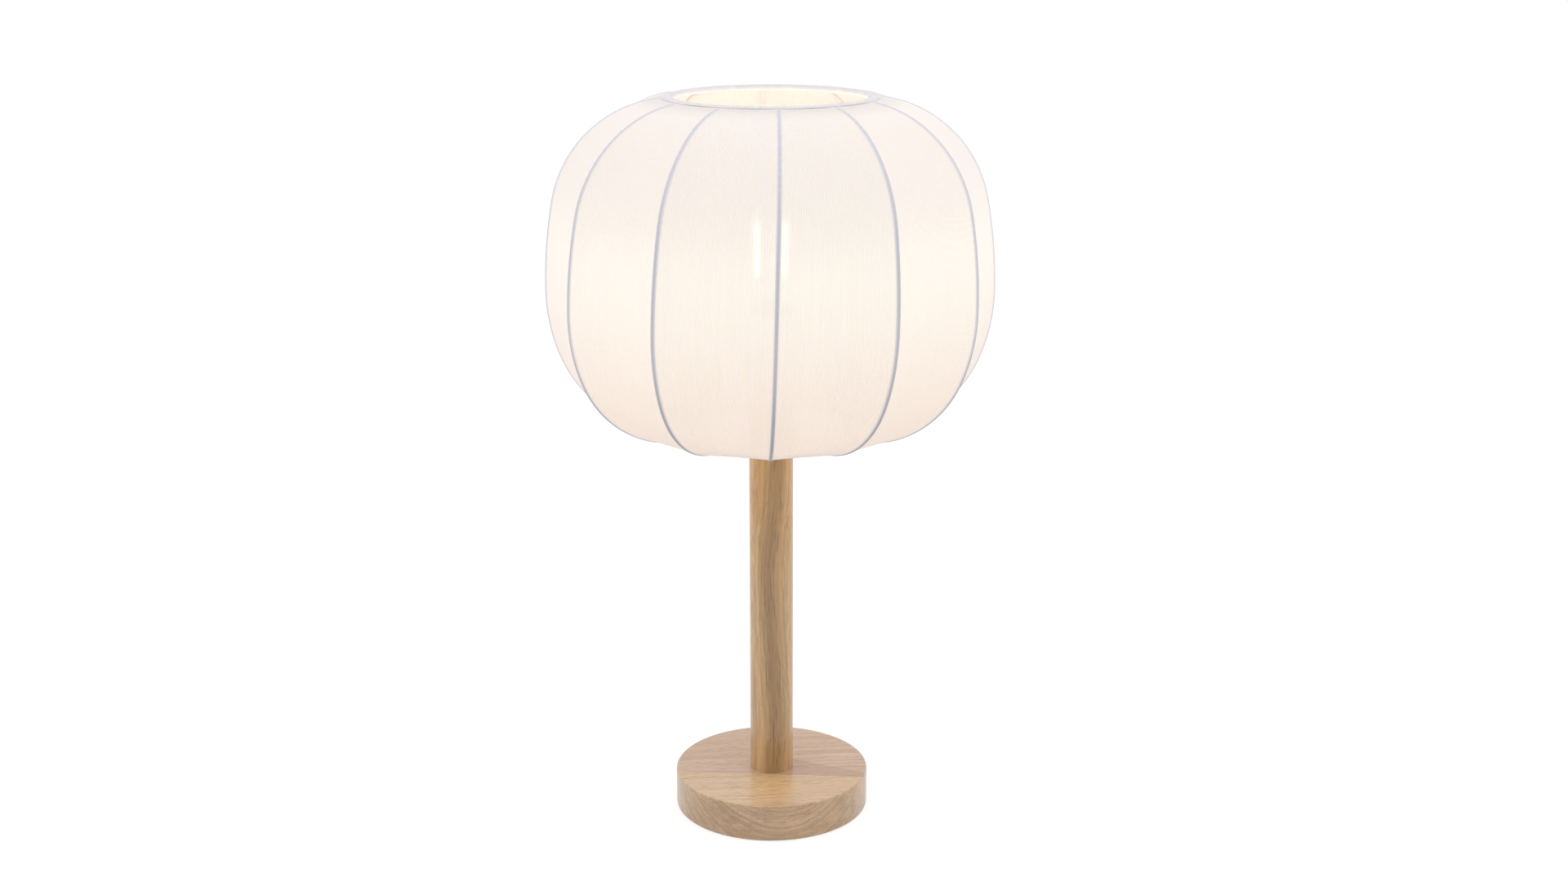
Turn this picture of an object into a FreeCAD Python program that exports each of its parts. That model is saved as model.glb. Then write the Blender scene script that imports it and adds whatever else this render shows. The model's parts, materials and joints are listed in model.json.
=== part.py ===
import FreeCAD, Part
import math
import os

# A table lamp: a round wooden base and post, a screw lampholder with its bulb, and a wide lantern
# shade of twelve bent wire ribs with pleated fabric between them.
# Millimetres. The origin is the middle of the underside, Z is up and the front faces -Y.

Vector = FreeCAD.Vector
UP = Vector(0, 0, 1)

# Clearances
fit_gap = 0.05  # round the fixed metal in its holes
slide_gap = 0.35  # between round faces that move along or about each other
seat_gap = 0.1  # between flat faces of pieces that move apart
soft_gap = 0.3  # between cloth or felt and what is next to it

# Overall
total_height = 500.0
shade_width = 300.0  # over the taped ribs
base_diameter = 135.0
base_height = 26.5  # top of the wood above the table
post_diameter = 30.0
post_length = 268.0

# Base
base_edge_round = 1.0
pad_thickness = 1.5
pad_proud = 0.5  # how far the felt stands below the wood
pad_rim = 4.0  # wood left round the felt
ballast_rim = 6.7  # wood left round the ballast
ballast_thickness = 8.0
chamber_diameter = 64.0
chamber_web = 7.5  # wood between the chamber and the top
ballast_screw_count = 3
ballast_screw_diameter = 3.5
ballast_screw_bite = 8.0  # length in the wood
ballast_screw_head = 7.0

# Cable inlet
cable_diameter = 6.0
cable_play = 0.15
bushing_wall = 0.85
bushing_length = 20.0
bushing_flange = 12.0
bushing_flange_thickness = 1.5
bushing_sink = 1.0  # depth of the flat spot under the flange
inlet_floor = 0.85  # wood between the inlet hole and the ballast

# Tube through the post and what clamps it
tube_diameter = 10.0
tube_bore = 8.0
tube_end_proud = 1.0  # below the nut
tube_into_cap = 8.0
post_bore_play = 0.25
rod_washer_diameter = 20.0
rod_washer_thickness = 1.5
lock_washer_diameter = 16.0
lock_washer_thickness = 1.2
lock_washer_teeth = 8
lock_washer_notch = 2.0
rod_nut_width = 14.0  # across flats
rod_nut_height = 4.0
post_washer_diameter = 28.0
post_washer_thickness = 1.5

# Terminal block in the base
block_width = 20.0
block_depth = 16.0
block_height = 14.0
block_from_washer = 1.0
pole_pitch = 8.0
pole_rise = 4.0  # from the underside of the block
pole_outer_diameter = 4.4
block_screw_diameter = 2.5
block_screw_spread = 8.0

# Two insulated cores from the block to the lampholder
core_diameter = 2.4
core_spacing = 2.7
core_floor = 4.0  # middle of a core above the felt
core_into_pole = 3.0
core_bend = 5.0
core_end_bend = 2.5

# Lampholder
cap_neck_diameter = 18.0
cap_neck_length = 10.0
cap_height = 24.0
cap_flare_start = 7.0
cap_flare_rise = 8.0
grub_screw_diameter = 3.0
grub_screw_length = 4.0
skirt_diameter = 39.0
skirt_wall = 2.2
skirt_length = 36.0
skirt_lip = 2.0
shoulder_diameter = 48.0
shoulder_thickness = 2.0
shoulder_rise = 13.0  # from the foot of the skirt to the shoulder
insert_floor = 8.0
insert_ledge = 1.0  # how far the insert rests on the rim of the cap
terminal_size = 6.0
terminal_offset = 9.0
terminal_screw_diameter = 2.6
terminal_screw_head = 1.5
shell_wall = 0.4
shell_rise = 10.0  # from the insert's floor to the foot of the shell
contact_rise = 3.0
contact_thickness = 0.5
contact_width = 6.0
contact_length = 15.0

# Ring that clamps the shade on the shoulder
clamp_ring_width = 54.0
clamp_ring_height = 8.0
clamp_ring_grips = 24
clamp_ring_grip_diameter = 2.4

# Bulb
bulb_diameter = 60.0
bulb_length = 105.0
bulb_cap_diameter = 26.2
bulb_cap_length = 26.5
bulb_cap_wall = 0.3
bulb_neck_diameter = 27.8
bulb_neck_curve = 18.0
bulb_taper = 35.0  # degrees from upright, from the ball down to the neck
bulb_glass_wall = 0.8
bulb_button_diameter = 9.6
bulb_button_height = 2.0
bulb_insulator_height = 4.2
thread_pitch = 3.63
thread_depth = 0.6
thread_turns = 3
thread_collar = 1.8  # plain stretch at each end of a thread
filament_length = 38.0
filament_diameter = 1.8
filament_offset = 8.5
filament_count = 4
filament_middle = 68.0  # above the tip of the bulb
bulb_wire_diameter = 0.8
stem_diameter = 3.6
stem_flare_height = 14.0

# Shade frame
mouth_radius = 66.0  # middle of the ring wires
bottom_ring_height = 276.0
widest_height = 370.0
upper_side_radius = 323.0
upper_side_turn = 11.0  # degrees
lower_side_radius = 117.0
lower_side_turn = 23.6  # degrees
rib_count = 12
rib_turn = 1.6  # degrees that the whole shade stands turned
rib_lean = 1.6  # degrees that each rib leans sideways
rib_diameter = 2.5
ring_diameter = 3.0
tape_thickness = 0.35
hem_thickness = 0.8
arm_count = 3
arm_diameter = 3.0
arm_turn = 90.0  # degrees from +X to the first arm
fitter_width = 56.0
fitter_thickness = 2.0
fitter_play = 0.75

# Pleated fabric between the ribs
pleat_depth = 2.0
pleat_outside = 0.8  # from the middle of the ribs to the outer folds
panel_sag = 1.5
panel_rows = (5, 2, 2, 5)  # steps along the four arcs of a rib
panel_columns = 4


def place(radius, turn, height):
    """The point at a radius from the middle, turned in degrees about Z from the front."""
    angle = math.radians(turn)
    return Vector(radius * math.sin(angle), -radius * math.cos(angle), height)


def disc(radius, low, high):
    return Part.makeCylinder(radius, high - low, Vector(0, 0, low))


def sleeve(outer, inner, low, high):
    return disc(outer, low, high).cut(disc(inner, low, high))


def turned(outline):
    """The solid of revolution about Z of a closed outline of (radius, height) corners."""
    corners = [Vector(r, 0, z) for r, z in outline]
    face = Part.Face(Part.makePolygon(corners + corners[:1]))
    return face.revolve(Vector(0, 0, 0), UP, 360)


def bar(start, end, radius):
    return Part.makeCylinder(radius, (end - start).Length, start, end - start)


def wire_along(path, radius):
    """A round solid along a path of lines and tangent arcs."""
    edge = path[0]
    start = edge.valueAt(edge.FirstParameter)
    along = edge.tangentAt(edge.FirstParameter)
    section = Part.Wire(Part.makeCircle(radius, start, along))
    return Part.Wire(path).makePipeShell([section], True, False)


def bent(points, bend):
    """Straight runs between the points, joined by tangent arcs of the radii in bend."""
    edges = []
    start = points[0]
    for before, corner, after, radius in zip(points, points[1:], points[2:], bend):
        back = (before - corner).normalize()
        ahead = (after - corner).normalize()
        half = back.getAngle(ahead) / 2
        reach = radius / math.tan(half)
        middle = (back + ahead).normalize()
        inner = corner + middle * (radius / math.sin(half) - radius)
        first = corner + back * reach
        last = corner + ahead * reach
        edges.append(Part.makeLine(start, first))
        edges.append(Part.Arc(first, inner, last).toShape())
        start = last
    edges.append(Part.makeLine(start, points[-1]))
    return edges


def spun(shape, count, first=0.0):
    """Copies of a shape, evenly round the Z axis."""
    copies = []
    for i in range(count):
        copy = shape.copy()
        copy.rotate(Vector(0, 0, 0), UP, first + 360.0 * i / count)
        copies.append(copy)
    return copies


def save(name, shape):
    shape.exportStep("parts/" + name + ".step")


os.makedirs("parts", exist_ok=True)

# Heights that follow from the sizes
pad_top = pad_thickness
ballast_low = pad_top + soft_gap
ballast_top = ballast_low + ballast_thickness
chamber_top = base_height - chamber_web
post_top = base_height + post_length
holder_foot = post_top + post_washer_thickness
cap_top = holder_foot + cap_height
skirt_top = cap_top + skirt_length
shoulder_top = cap_top + shoulder_rise + shoulder_thickness
contact_top = cap_top + insert_floor + contact_rise
bulb_tip = contact_top + slide_gap
bulb_cap_top = bulb_tip + bulb_cap_length
bulb_top = bulb_tip + bulb_length
hem_radius = ring_diameter / 2 + fit_gap + hem_thickness
top_ring_height = total_height - hem_radius
base_radius = base_diameter / 2
post_radius = post_diameter / 2
tube_radius = tube_diameter / 2

# ---- Base ------------------------------------------------------------------------------------
# A disc of glued rubberwood staves with a small rounding. Below it has a recess for the felt, a
# pocket for the ballast ring, and a chamber in the middle for the nut and the terminal block.

ballast_radius = base_radius - ballast_rim
chamber_radius = chamber_diameter / 2
bushing_radius = cable_diameter / 2 + cable_play + bushing_wall
inlet_radius = bushing_radius + fit_gap
inlet_height = ballast_top + inlet_floor + inlet_radius
inlet_face = base_radius - bushing_sink
screw_ring = (ballast_radius + chamber_radius) / 2
screw_radius = ballast_screw_diameter / 2
screw_top = ballast_top + ballast_screw_bite
screw_first_turn = 30.0  # keeps the screws clear of the inlet

base_disc = disc(base_radius, pad_proud, base_height)
rims = [e for e in base_disc.Edges if abs(e.Length - math.pi * base_diameter) < fit_gap]
base_disc = base_disc.makeFillet(base_edge_round, rims)
base_disc = base_disc.cut(disc(base_radius - pad_rim, pad_proud, pad_top))
base_disc = base_disc.cut(disc(ballast_radius + soft_gap, pad_top, ballast_top))
base_disc = base_disc.cut(disc(chamber_radius, pad_top, chamber_top))
base_disc = base_disc.cut(disc(tube_radius + post_bore_play, chamber_top, base_height))
inlet_start = Vector(0, chamber_radius / 2, inlet_height)
base_disc = base_disc.cut(bar(inlet_start, Vector(0, base_radius, inlet_height), inlet_radius))
flat_start = Vector(0, inlet_face, inlet_height)
flat_end = Vector(0, base_radius, inlet_height)
base_disc = base_disc.cut(bar(flat_start, flat_end, bushing_flange / 2 + fit_gap))
pilot = disc(screw_radius + fit_gap, ballast_top, screw_top)
pilot.translate(Vector(screw_ring, 0, 0))
base_disc = base_disc.cut(spun(pilot, ballast_screw_count, screw_first_turn))
save("base_disc", base_disc)

# Steel ballast ring, held up in its pocket by countersunk screws
head_radius = ballast_screw_head / 2
head_depth = head_radius - screw_radius
screw = turned(
    [
        (0, ballast_low),
        (head_radius, ballast_low),
        (screw_radius, ballast_low + head_depth),
        (screw_radius, screw_top - screw_radius),
        (0, screw_top),
    ]
)
screw.translate(Vector(screw_ring, 0, 0))
hole = turned(
    [
        (0, ballast_low),
        (head_radius + fit_gap, ballast_low),
        (screw_radius + fit_gap, ballast_low + head_depth),
        (screw_radius + fit_gap, ballast_top),
        (0, ballast_top),
    ]
)
hole.translate(Vector(screw_ring, 0, 0))
ballast_ring = sleeve(ballast_radius, chamber_radius, ballast_low, ballast_top)
ballast_ring = ballast_ring.cut(spun(hole, ballast_screw_count, screw_first_turn))
save("ballast_ring", ballast_ring)
save("ballast_screws", Part.makeCompound(spun(screw, ballast_screw_count, screw_first_turn)))

# Felt disc glued under the base
save("base_pad", disc(base_radius - pad_rim - soft_gap, 0, pad_top))

# Flanged bush in the back of the base, where the supply cable goes in
flange_outer = Vector(0, inlet_face + bushing_flange_thickness, inlet_height)
bush_start = Vector(0, inlet_face - bushing_length, inlet_height)
cable_bushing = bar(bush_start, flat_start, bushing_radius)
cable_bushing = cable_bushing.fuse(bar(flat_start, flange_outer, bushing_flange / 2))
cable_bushing = cable_bushing.cut(bar(bush_start, flange_outer, cable_diameter / 2 + cable_play))
save("cable_bushing", cable_bushing.removeSplitter())

# ---- Tube, nut and washers ---------------------------------------------------------------------
# A threaded tube runs from the chamber to the lampholder and pulls base, post and holder together.

rod_washer_low = chamber_top - rod_washer_thickness
lock_washer_low = rod_washer_low - lock_washer_thickness
nut_low = lock_washer_low - rod_nut_height
tube_low = nut_low - tube_end_proud
tube_hole = tube_radius + fit_gap

save("rod_washer", sleeve(rod_washer_diameter / 2, tube_hole, rod_washer_low, chamber_top))

lock_washer_radius = lock_washer_diameter / 2
lock_washer = sleeve(lock_washer_radius, tube_hole, lock_washer_low, rod_washer_low)
notch = disc(lock_washer_notch / 2, lock_washer_low, rod_washer_low)
notch.translate(Vector(lock_washer_radius, 0, 0))
save("lock_washer", lock_washer.cut(spun(notch, lock_washer_teeth)))

nut_corner = rod_nut_width / 2 / math.cos(math.radians(30))
hexagon = [place(nut_corner, 60 * i, nut_low) for i in range(7)]
rod_nut = Part.Face(Part.makePolygon(hexagon)).extrude(UP * rod_nut_height)
save("rod_nut", rod_nut.cut(disc(tube_hole, nut_low, lock_washer_low)))

tube_top = holder_foot + tube_into_cap
save("threaded_tube", sleeve(tube_radius, tube_bore / 2, tube_low, tube_top))

# ---- Post --------------------------------------------------------------------------------------
# A rubberwood dowel bored from end to end, with a washer under the lampholder.

post_hole = tube_radius + post_bore_play
save("post", sleeve(post_radius, post_hole, base_height, post_top))
save("post_washer", sleeve(post_washer_diameter / 2, post_hole, post_top, holder_foot))

# ---- Terminal block and inner lead ---------------------------------------------------------------
# A two-pole block hangs from the top of the chamber. Two cores run from it up the tube.

block_front = rod_washer_diameter / 2 + block_from_washer
block_low = chamber_top - block_height
pole_height = block_low + pole_rise
pole_radius = pole_outer_diameter / 2
pole_bore = core_diameter / 2 + cable_play
terminal_block = Part.makeBox(
    block_width, block_depth, block_height, Vector(-block_width / 2, block_front, block_low)
)
terminals = []
for side in (-1, 1):
    x = side * pole_pitch / 2
    front = Vector(x, block_front, pole_height)
    back = Vector(x, block_front + block_depth, pole_height)
    terminal_block = terminal_block.cut(bar(front, back, pole_radius + fit_gap))
    terminals.append(bar(front, back, pole_radius).cut(bar(front, back, pole_bore)))
    for end in (-1, 1):
        y = block_front + (block_depth + end * block_screw_spread) / 2
        foot = Vector(x, y, block_low)
        tip = Vector(x, y, pole_height - pole_radius)
        bite = Vector(x, y, pole_height)
        terminal_block = terminal_block.cut(bar(foot, bite, block_screw_diameter / 2 + fit_gap))
        terminals.append(bar(foot, tip, block_screw_diameter / 2))
save("terminal_block", terminal_block)
save("block_terminals", Part.makeCompound(terminals))

core_radius = core_diameter / 2
terminal_low = cap_top - terminal_size
neck_top = holder_foot + cap_neck_length
cores = []
for side in (-1, 1):
    x = side * core_spacing / 2
    route = [
        Vector(side * pole_pitch / 2, block_front + core_into_pole, pole_height),
        Vector(side * pole_pitch / 2, block_front - core_into_pole / 2, pole_height),
        Vector(x, 0, pad_top + core_floor),
        Vector(x, 0, neck_top + soft_gap),
        Vector(side * terminal_offset, 0, terminal_low - core_end_bend - core_radius),
        Vector(side * terminal_offset, 0, terminal_low),
    ]
    bends = [core_end_bend, core_bend, core_end_bend, core_end_bend]
    cores.append(wire_along(bent(route, bends), core_radius))
save("inner_lead", Part.makeCompound(cores))

# ---- Lampholder --------------------------------------------------------------------------------
# A moulded cap on the tube, an insert with the terminals, contact and screw shell, and a skirt
# with a shoulder that the shade rests on.

skirt_radius = skirt_diameter / 2
insert_radius = skirt_radius - skirt_wall - soft_gap
neck_radius = cap_neck_diameter / 2
cavity_radius = insert_radius - insert_ledge
cap_wall = neck_radius - tube_radius
holder_cap = turned(
    [
        (tube_hole, holder_foot),
        (neck_radius, holder_foot),
        (neck_radius, holder_foot + cap_flare_start),
        (skirt_radius, holder_foot + cap_flare_start + cap_flare_rise),
        (skirt_radius, cap_top),
        (cavity_radius, cap_top),
        (cavity_radius, neck_top + cavity_radius - neck_radius),
        (neck_radius, neck_top),
        (tube_hole, neck_top),
    ]
)
grub_height = holder_foot + cap_flare_start / 2
grub_radius = grub_screw_diameter / 2
grub_inner = Vector(tube_radius + 2 * fit_gap, 0, grub_height)
grub_outer = grub_inner + Vector(grub_screw_length, 0, 0)
grub_past = Vector(neck_radius + cap_wall, 0, grub_height)
holder_cap = holder_cap.cut(bar(Vector(tube_radius, 0, grub_height), grub_past, grub_radius + fit_gap))
save("holder_cap", holder_cap)

slot_width = grub_screw_diameter / 5
slot_corner = grub_outer - Vector(slot_width, slot_width / 2, grub_radius)
slot = Part.makeBox(slot_width, slot_width, grub_screw_diameter, slot_corner)
save("grub_screw", bar(grub_inner, grub_outer, grub_radius).cut(slot))

terminal_radius = terminal_screw_diameter / 2
half_terminal = terminal_size / 2
terminals = []
for side in (-1, 1):
    corner = Vector(side * terminal_offset - half_terminal, -half_terminal, terminal_low)
    block = Part.makeBox(terminal_size, terminal_size, terminal_size, corner)
    face = Vector(side * (terminal_offset + half_terminal), 0, terminal_low + half_terminal)
    inner = face - Vector(side * half_terminal, 0, 0)
    terminals.append(block.cut(bar(inner, face, terminal_radius + fit_gap)))
    outer = face + Vector(side * terminal_screw_head, 0, 0)
    screw = bar(inner, face, terminal_radius).fuse(bar(face, outer, half_terminal))
    terminals.append(screw.removeSplitter())
save("holder_terminals", Part.makeCompound(terminals))

insert_top = skirt_top - skirt_lip - soft_gap
shell_inner = bulb_cap_diameter / 2 + slide_gap
shell_outer = shell_inner + thread_depth + shell_wall
insert_bore = shell_outer + fit_gap
floor_top = cap_top + insert_floor
holder_insert = disc(insert_radius, cap_top, insert_top).cut(disc(insert_bore, floor_top, insert_top))
save("holder_insert", holder_insert)

# The contact is a brass tongue: a foot on the floor, a rise to the middle and a turned-down tip
contact_half = contact_length / 2
crown = contact_half / 3
contact_line = [
    (-contact_half, floor_top + contact_thickness),
    (-crown, floor_top + contact_thickness),
    (0, contact_top),
    (crown, contact_top),
    (contact_half, contact_top - contact_rise / 2),
]
upper = [Vector(x, -contact_width / 2, z) for x, z in contact_line]
lower = [p - Vector(0, 0, contact_thickness) for p in reversed(upper)]
outline = Part.makePolygon(upper + lower + upper[:1])
save("centre_contact", Part.Face(outline).extrude(Vector(0, contact_width, 0)))


def threaded(inner, wall, low, depth):
    """The outline of a rolled thread's thin wall: plain collar ends and waves between them."""
    line = [(inner, low)]
    for i in range(thread_turns):
        start = low + thread_collar + i * thread_pitch
        line.append((inner, start))
        line.append((inner + depth, start + thread_pitch / 2))
    line.append((inner, low + thread_collar + thread_turns * thread_pitch))
    return line, [(r + wall, z) for r, z in reversed(line)]


inner_line, outer_line = threaded(shell_inner, shell_wall, floor_top + shell_rise, thread_depth)
save("screw_shell", turned(inner_line + outer_line))

skirt_inner = skirt_radius - skirt_wall
lip_inner = insert_bore
shoulder_low = shoulder_top - shoulder_thickness
shoulder_radius = shoulder_diameter / 2
holder_skirt = turned(
    [
        (skirt_inner, cap_top),
        (skirt_radius, cap_top),
        (skirt_radius, shoulder_low),
        (shoulder_radius, shoulder_low),
        (shoulder_radius, shoulder_top),
        (skirt_radius, shoulder_top),
        (skirt_radius, skirt_top),
        (lip_inner, skirt_top),
        (lip_inner, skirt_top - skirt_lip),
        (skirt_inner, skirt_top - skirt_lip),
    ]
)
save("holder_skirt", holder_skirt)

# Clamp ring, screwed down on the skirt over the fitter ring, with grips round its edge
fitter_low = shoulder_top + seat_gap
fitter_top = fitter_low + fitter_thickness
clamp_low = fitter_top + seat_gap
clamp_top = clamp_low + clamp_ring_height
clamp_radius = clamp_ring_width / 2
clamp_ring = sleeve(clamp_radius, skirt_radius + slide_gap, clamp_low, clamp_top)
grip = disc(clamp_ring_grip_diameter / 2, clamp_low, clamp_top)
grip.translate(Vector(clamp_radius, 0, 0))
save("shade_clamp_ring", clamp_ring.cut(spun(grip, clamp_ring_grips)))

# ---- Bulb --------------------------------------------------------------------------------------
# A clear bulb: a ball of thin glass on a taper and neck, a screw cap with insulator and contact
# button, and a stem that carries upright filaments between wires.

ball_radius = bulb_diameter / 2
ball_middle = bulb_top - ball_radius
taper = math.radians(bulb_taper)
button_top = bulb_tip + bulb_button_height
insulator_top = button_top + bulb_insulator_height
cap_radius = bulb_cap_diameter / 2
bulb_neck_radius = bulb_neck_diameter / 2
neck_seat = cap_radius - bulb_cap_wall - thread_depth
thread_top = insulator_top + thread_collar + thread_turns * thread_pitch


def glass_line(inset):
    """Edges of the bulb's outline from the crown to the neck, moved in by a wall's thickness."""
    ball = ball_radius - inset
    neck = bulb_neck_radius - inset
    curve = bulb_neck_curve + inset
    leave = Vector(ball * math.cos(taper), 0, ball_middle - ball * math.sin(taper))
    across = ((neck + curve - leave.x) * math.cos(taper) - curve) / math.sin(taper)
    centre = Vector(neck + curve, 0, leave.z + across)
    join = centre - Vector(math.cos(taper), 0, -math.sin(taper)) * curve
    half = taper / 2
    middle = centre - Vector(math.cos(half), 0, -math.sin(half)) * curve
    foot = centre - Vector(curve, 0, 0)
    crown_point = Vector(0, 0, ball_middle + ball)
    side = math.radians(90 - bulb_taper) / 2
    shoulder = Vector(ball * math.cos(side), 0, ball_middle + ball * math.sin(side))
    edges = [Part.Arc(crown_point, shoulder, leave).toShape(), Part.makeLine(leave, join)]
    edges.append(Part.Arc(join, middle, foot).toShape())
    rim = Vector(neck, 0, bulb_cap_top + thread_depth + bulb_neck_radius - neck_seat)
    tuck = Vector(neck_seat - inset, 0, bulb_cap_top + thread_depth)
    end = Vector(neck_seat - inset, 0, thread_top + bulb_cap_wall)
    edges.append(Part.makeLine(foot, rim))
    edges.append(Part.makeLine(rim, tuck))
    edges.append(Part.makeLine(tuck, end))
    return edges, crown_point, end


outer_edges, outer_crown, outer_end = glass_line(0)
inner_edges, inner_crown, inner_end = glass_line(bulb_glass_wall)
closing = [Part.makeLine(outer_end, inner_end), Part.makeLine(inner_crown, outer_crown)]
glass_face = Part.Face(Part.Wire(Part.__sortEdges__(outer_edges + inner_edges + closing)))
save("bulb_glass", glass_face.revolve(Vector(0, 0, 0), UP, 360))

cap_root = cap_radius - bulb_cap_wall
inner_line, outer_line = threaded(cap_root, bulb_cap_wall, insulator_top, -thread_depth)
cap_end = (cap_root, bulb_cap_top)
cap_end_outer = (cap_radius, bulb_cap_top)
save("bulb_cap", turned(inner_line + [cap_end, cap_end_outer] + outer_line))

button_radius = bulb_button_diameter / 2
save("bulb_contact", disc(button_radius, bulb_tip, button_top))
bulb_insulator = turned(
    [
        (0, button_top),
        (button_radius, button_top),
        (cap_root, insulator_top),
        (0, insulator_top),
    ]
)
save("bulb_insulator", bulb_insulator)

filament_low = bulb_tip + filament_middle - filament_length / 2
filament_high = filament_low + filament_length
stem_radius = stem_diameter / 2
stem_foot = thread_top + bulb_cap_wall
stem_knee = stem_foot + stem_flare_height
flare_radius = neck_seat - bulb_glass_wall - soft_gap
pinch_top = filament_low - filament_diameter
stem_top = filament_high + filament_diameter
bulb_stem = turned(
    [
        (0, stem_foot),
        (flare_radius, stem_foot),
        (2 * stem_radius, stem_knee),
        (2 * stem_radius, pinch_top),
        (stem_radius, pinch_top + stem_radius),
        (stem_radius, stem_top),
        (0, stem_top),
    ]
)
wire_radius = bulb_wire_diameter / 2
filament_radius = filament_diameter / 2
filaments = []
bulb_wires = []
for i in range(filament_count):
    turn = 360.0 * (i + 0.5) / filament_count
    ring = filament_offset * math.sqrt(2)
    low = place(ring, turn, filament_low)
    high = place(ring, turn, filament_high)
    filaments.append(bar(low, high, filament_radius))
    foot = place(stem_radius, turn, pinch_top)
    head = place(stem_radius / 2, turn, stem_top - wire_radius)
    for end, root in ((low, foot), (high, head)):
        bulb_wires.append(bar(root, end, wire_radius))
stem_holes = Part.makeCompound(bulb_wires)
lit = Part.makeCompound(filaments)
bulb_wires = [w.cut(lit) for w in bulb_wires]
save("bulb_stem", bulb_stem.cut(stem_holes))
save("bulb_filaments", lit)
save("bulb_leads", Part.makeCompound(bulb_wires))

# ---- Shade frame -------------------------------------------------------------------------------
# Each rib is four tangent arcs in one upright plane: two flat ones either side of the widest point
# and a round shoulder at each end, which runs in to the ring wire.

rib_radius = rib_diameter / 2
tape_radius = rib_radius + fit_gap + tape_thickness
widest_radius = shade_width / 2 - tape_radius


def rib_arcs():
    """The rib's arcs from the top ring to the bottom ring, as (middle, radius, start, end)."""
    halves = []
    for side, radius, turn, ring_height in (
        (1, upper_side_radius, upper_side_turn, top_ring_height),
        (-1, lower_side_radius, lower_side_turn, bottom_ring_height),
    ):
        angle = side * math.radians(turn)
        out = Vector(math.cos(angle), math.sin(angle), 0)
        middle = Vector(widest_radius - radius, widest_height, 0)
        leave = middle + out * radius
        reach = Vector(mouth_radius, ring_height, 0) - leave
        shoulder = -reach.dot(reach) / (2 * reach.dot(out))
        shoulder_middle = leave - out * shoulder
        last = Vector(mouth_radius, ring_height, 0) - shoulder_middle
        end = math.atan2(last.y, last.x)
        halves.append(((middle, radius, 0.0, angle), (shoulder_middle, shoulder, angle, end)))
    (upper_side, upper_shoulder), (lower_side, lower_shoulder) = halves
    m, r, a, b = upper_shoulder
    n, s, c, d = upper_side
    return [(m, r, b, a), (n, s, d, c), lower_side, lower_shoulder]


arcs = rib_arcs()


def on_arc(middle, radius, angle):
    return Vector(0, -middle.x - radius * math.cos(angle), middle.y + radius * math.sin(angle))


def rib_path(trim):
    """The rib's path in the front plane, shortened at each ring by trim."""
    edges = []
    for i, (middle, radius, start, end) in enumerate(arcs):
        if i == 0:
            start -= trim / radius
        if i == len(arcs) - 1:
            end += trim / radius
        points = [on_arc(middle, radius, a) for a in (start, (start + end) / 2, end)]
        edges.append(Part.Arc(*points).toShape())
    return edges


def rib_wire(radius, trim):
    wire = wire_along(rib_path(trim), radius)
    wire.rotate(Vector(0, -widest_radius, widest_height), Vector(0, 1, 0), rib_lean)
    return wire


def hoop(radius, height):
    """A closed ring of round wire whose butt joint lies between two ribs."""
    ring = Part.makeTorus(mouth_radius, radius, Vector(0, 0, height))
    ring.rotate(Vector(0, 0, 0), UP, rib_turn + 180.0 / rib_count)
    return ring


top_ring = hoop(ring_diameter / 2, top_ring_height)
bottom_ring = hoop(ring_diameter / 2, bottom_ring_height)
save("top_ring", top_ring)
save("bottom_ring", bottom_ring)

rib = rib_wire(rib_radius, 0).cut([top_ring, bottom_ring])
for i, copy in enumerate(spun(rib, rib_count, rib_turn)):
    save("rib_%02d" % (i + 1), copy)

tape_trim = hem_radius + soft_gap
tape = rib_wire(tape_radius, tape_trim).cut(rib_wire(rib_radius + fit_gap, tape_trim))
save("rib_tapes", Part.makeCompound(spun(tape, rib_count, rib_turn)))

# Fitter ring and its arms: the arms slope up from the bottom ring and are welded under the ring
fitter_radius = fitter_width / 2
fitter_ring = sleeve(fitter_radius, skirt_radius + fitter_play, fitter_low, fitter_top)
save("fitter_ring", fitter_ring)
arm_radius = arm_diameter / 2
arm_head = Vector(fitter_radius - arm_radius / 2, 0, fitter_low - arm_radius / 2)
arm_foot = Vector(mouth_radius, 0, bottom_ring_height)
arm = bar(arm_head, arm_foot, arm_radius).cut([fitter_ring, bottom_ring])
arms = spun(arm, arm_count, arm_turn)
save("fitter_arms", Part.makeCompound(arms))

# Doubled hems sewn round the two ring wires, open where the ribs and arms reach the wire
rib_holes = spun(rib_wire(rib_radius + fit_gap, 0), rib_count, rib_turn)
arm_holes = spun(bar(arm_head, arm_foot, arm_radius + fit_gap), arm_count, arm_turn)


def hem(height, holes):
    """A tube of doubled cloth round a ring wire, with an opening at each hole."""
    tube = hoop(hem_radius, height)
    for group in holes:
        tube = tube.cut(group)
    return tube.cut(hoop(ring_diameter / 2 + fit_gap, height))


save("top_hem", hem(top_ring_height, [rib_holes]))
save("bottom_hem", hem(bottom_ring_height, [arm_holes, rib_holes]))

# ---- Fabric panels -----------------------------------------------------------------------------
# One gore of pleated cloth between two ribs. It is round at the rings, straight from rib to rib
# over the body and a little drawn in, and it leans with the ribs.

half_panel = math.pi / rib_count
lean = math.tan(math.radians(rib_lean))


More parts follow.
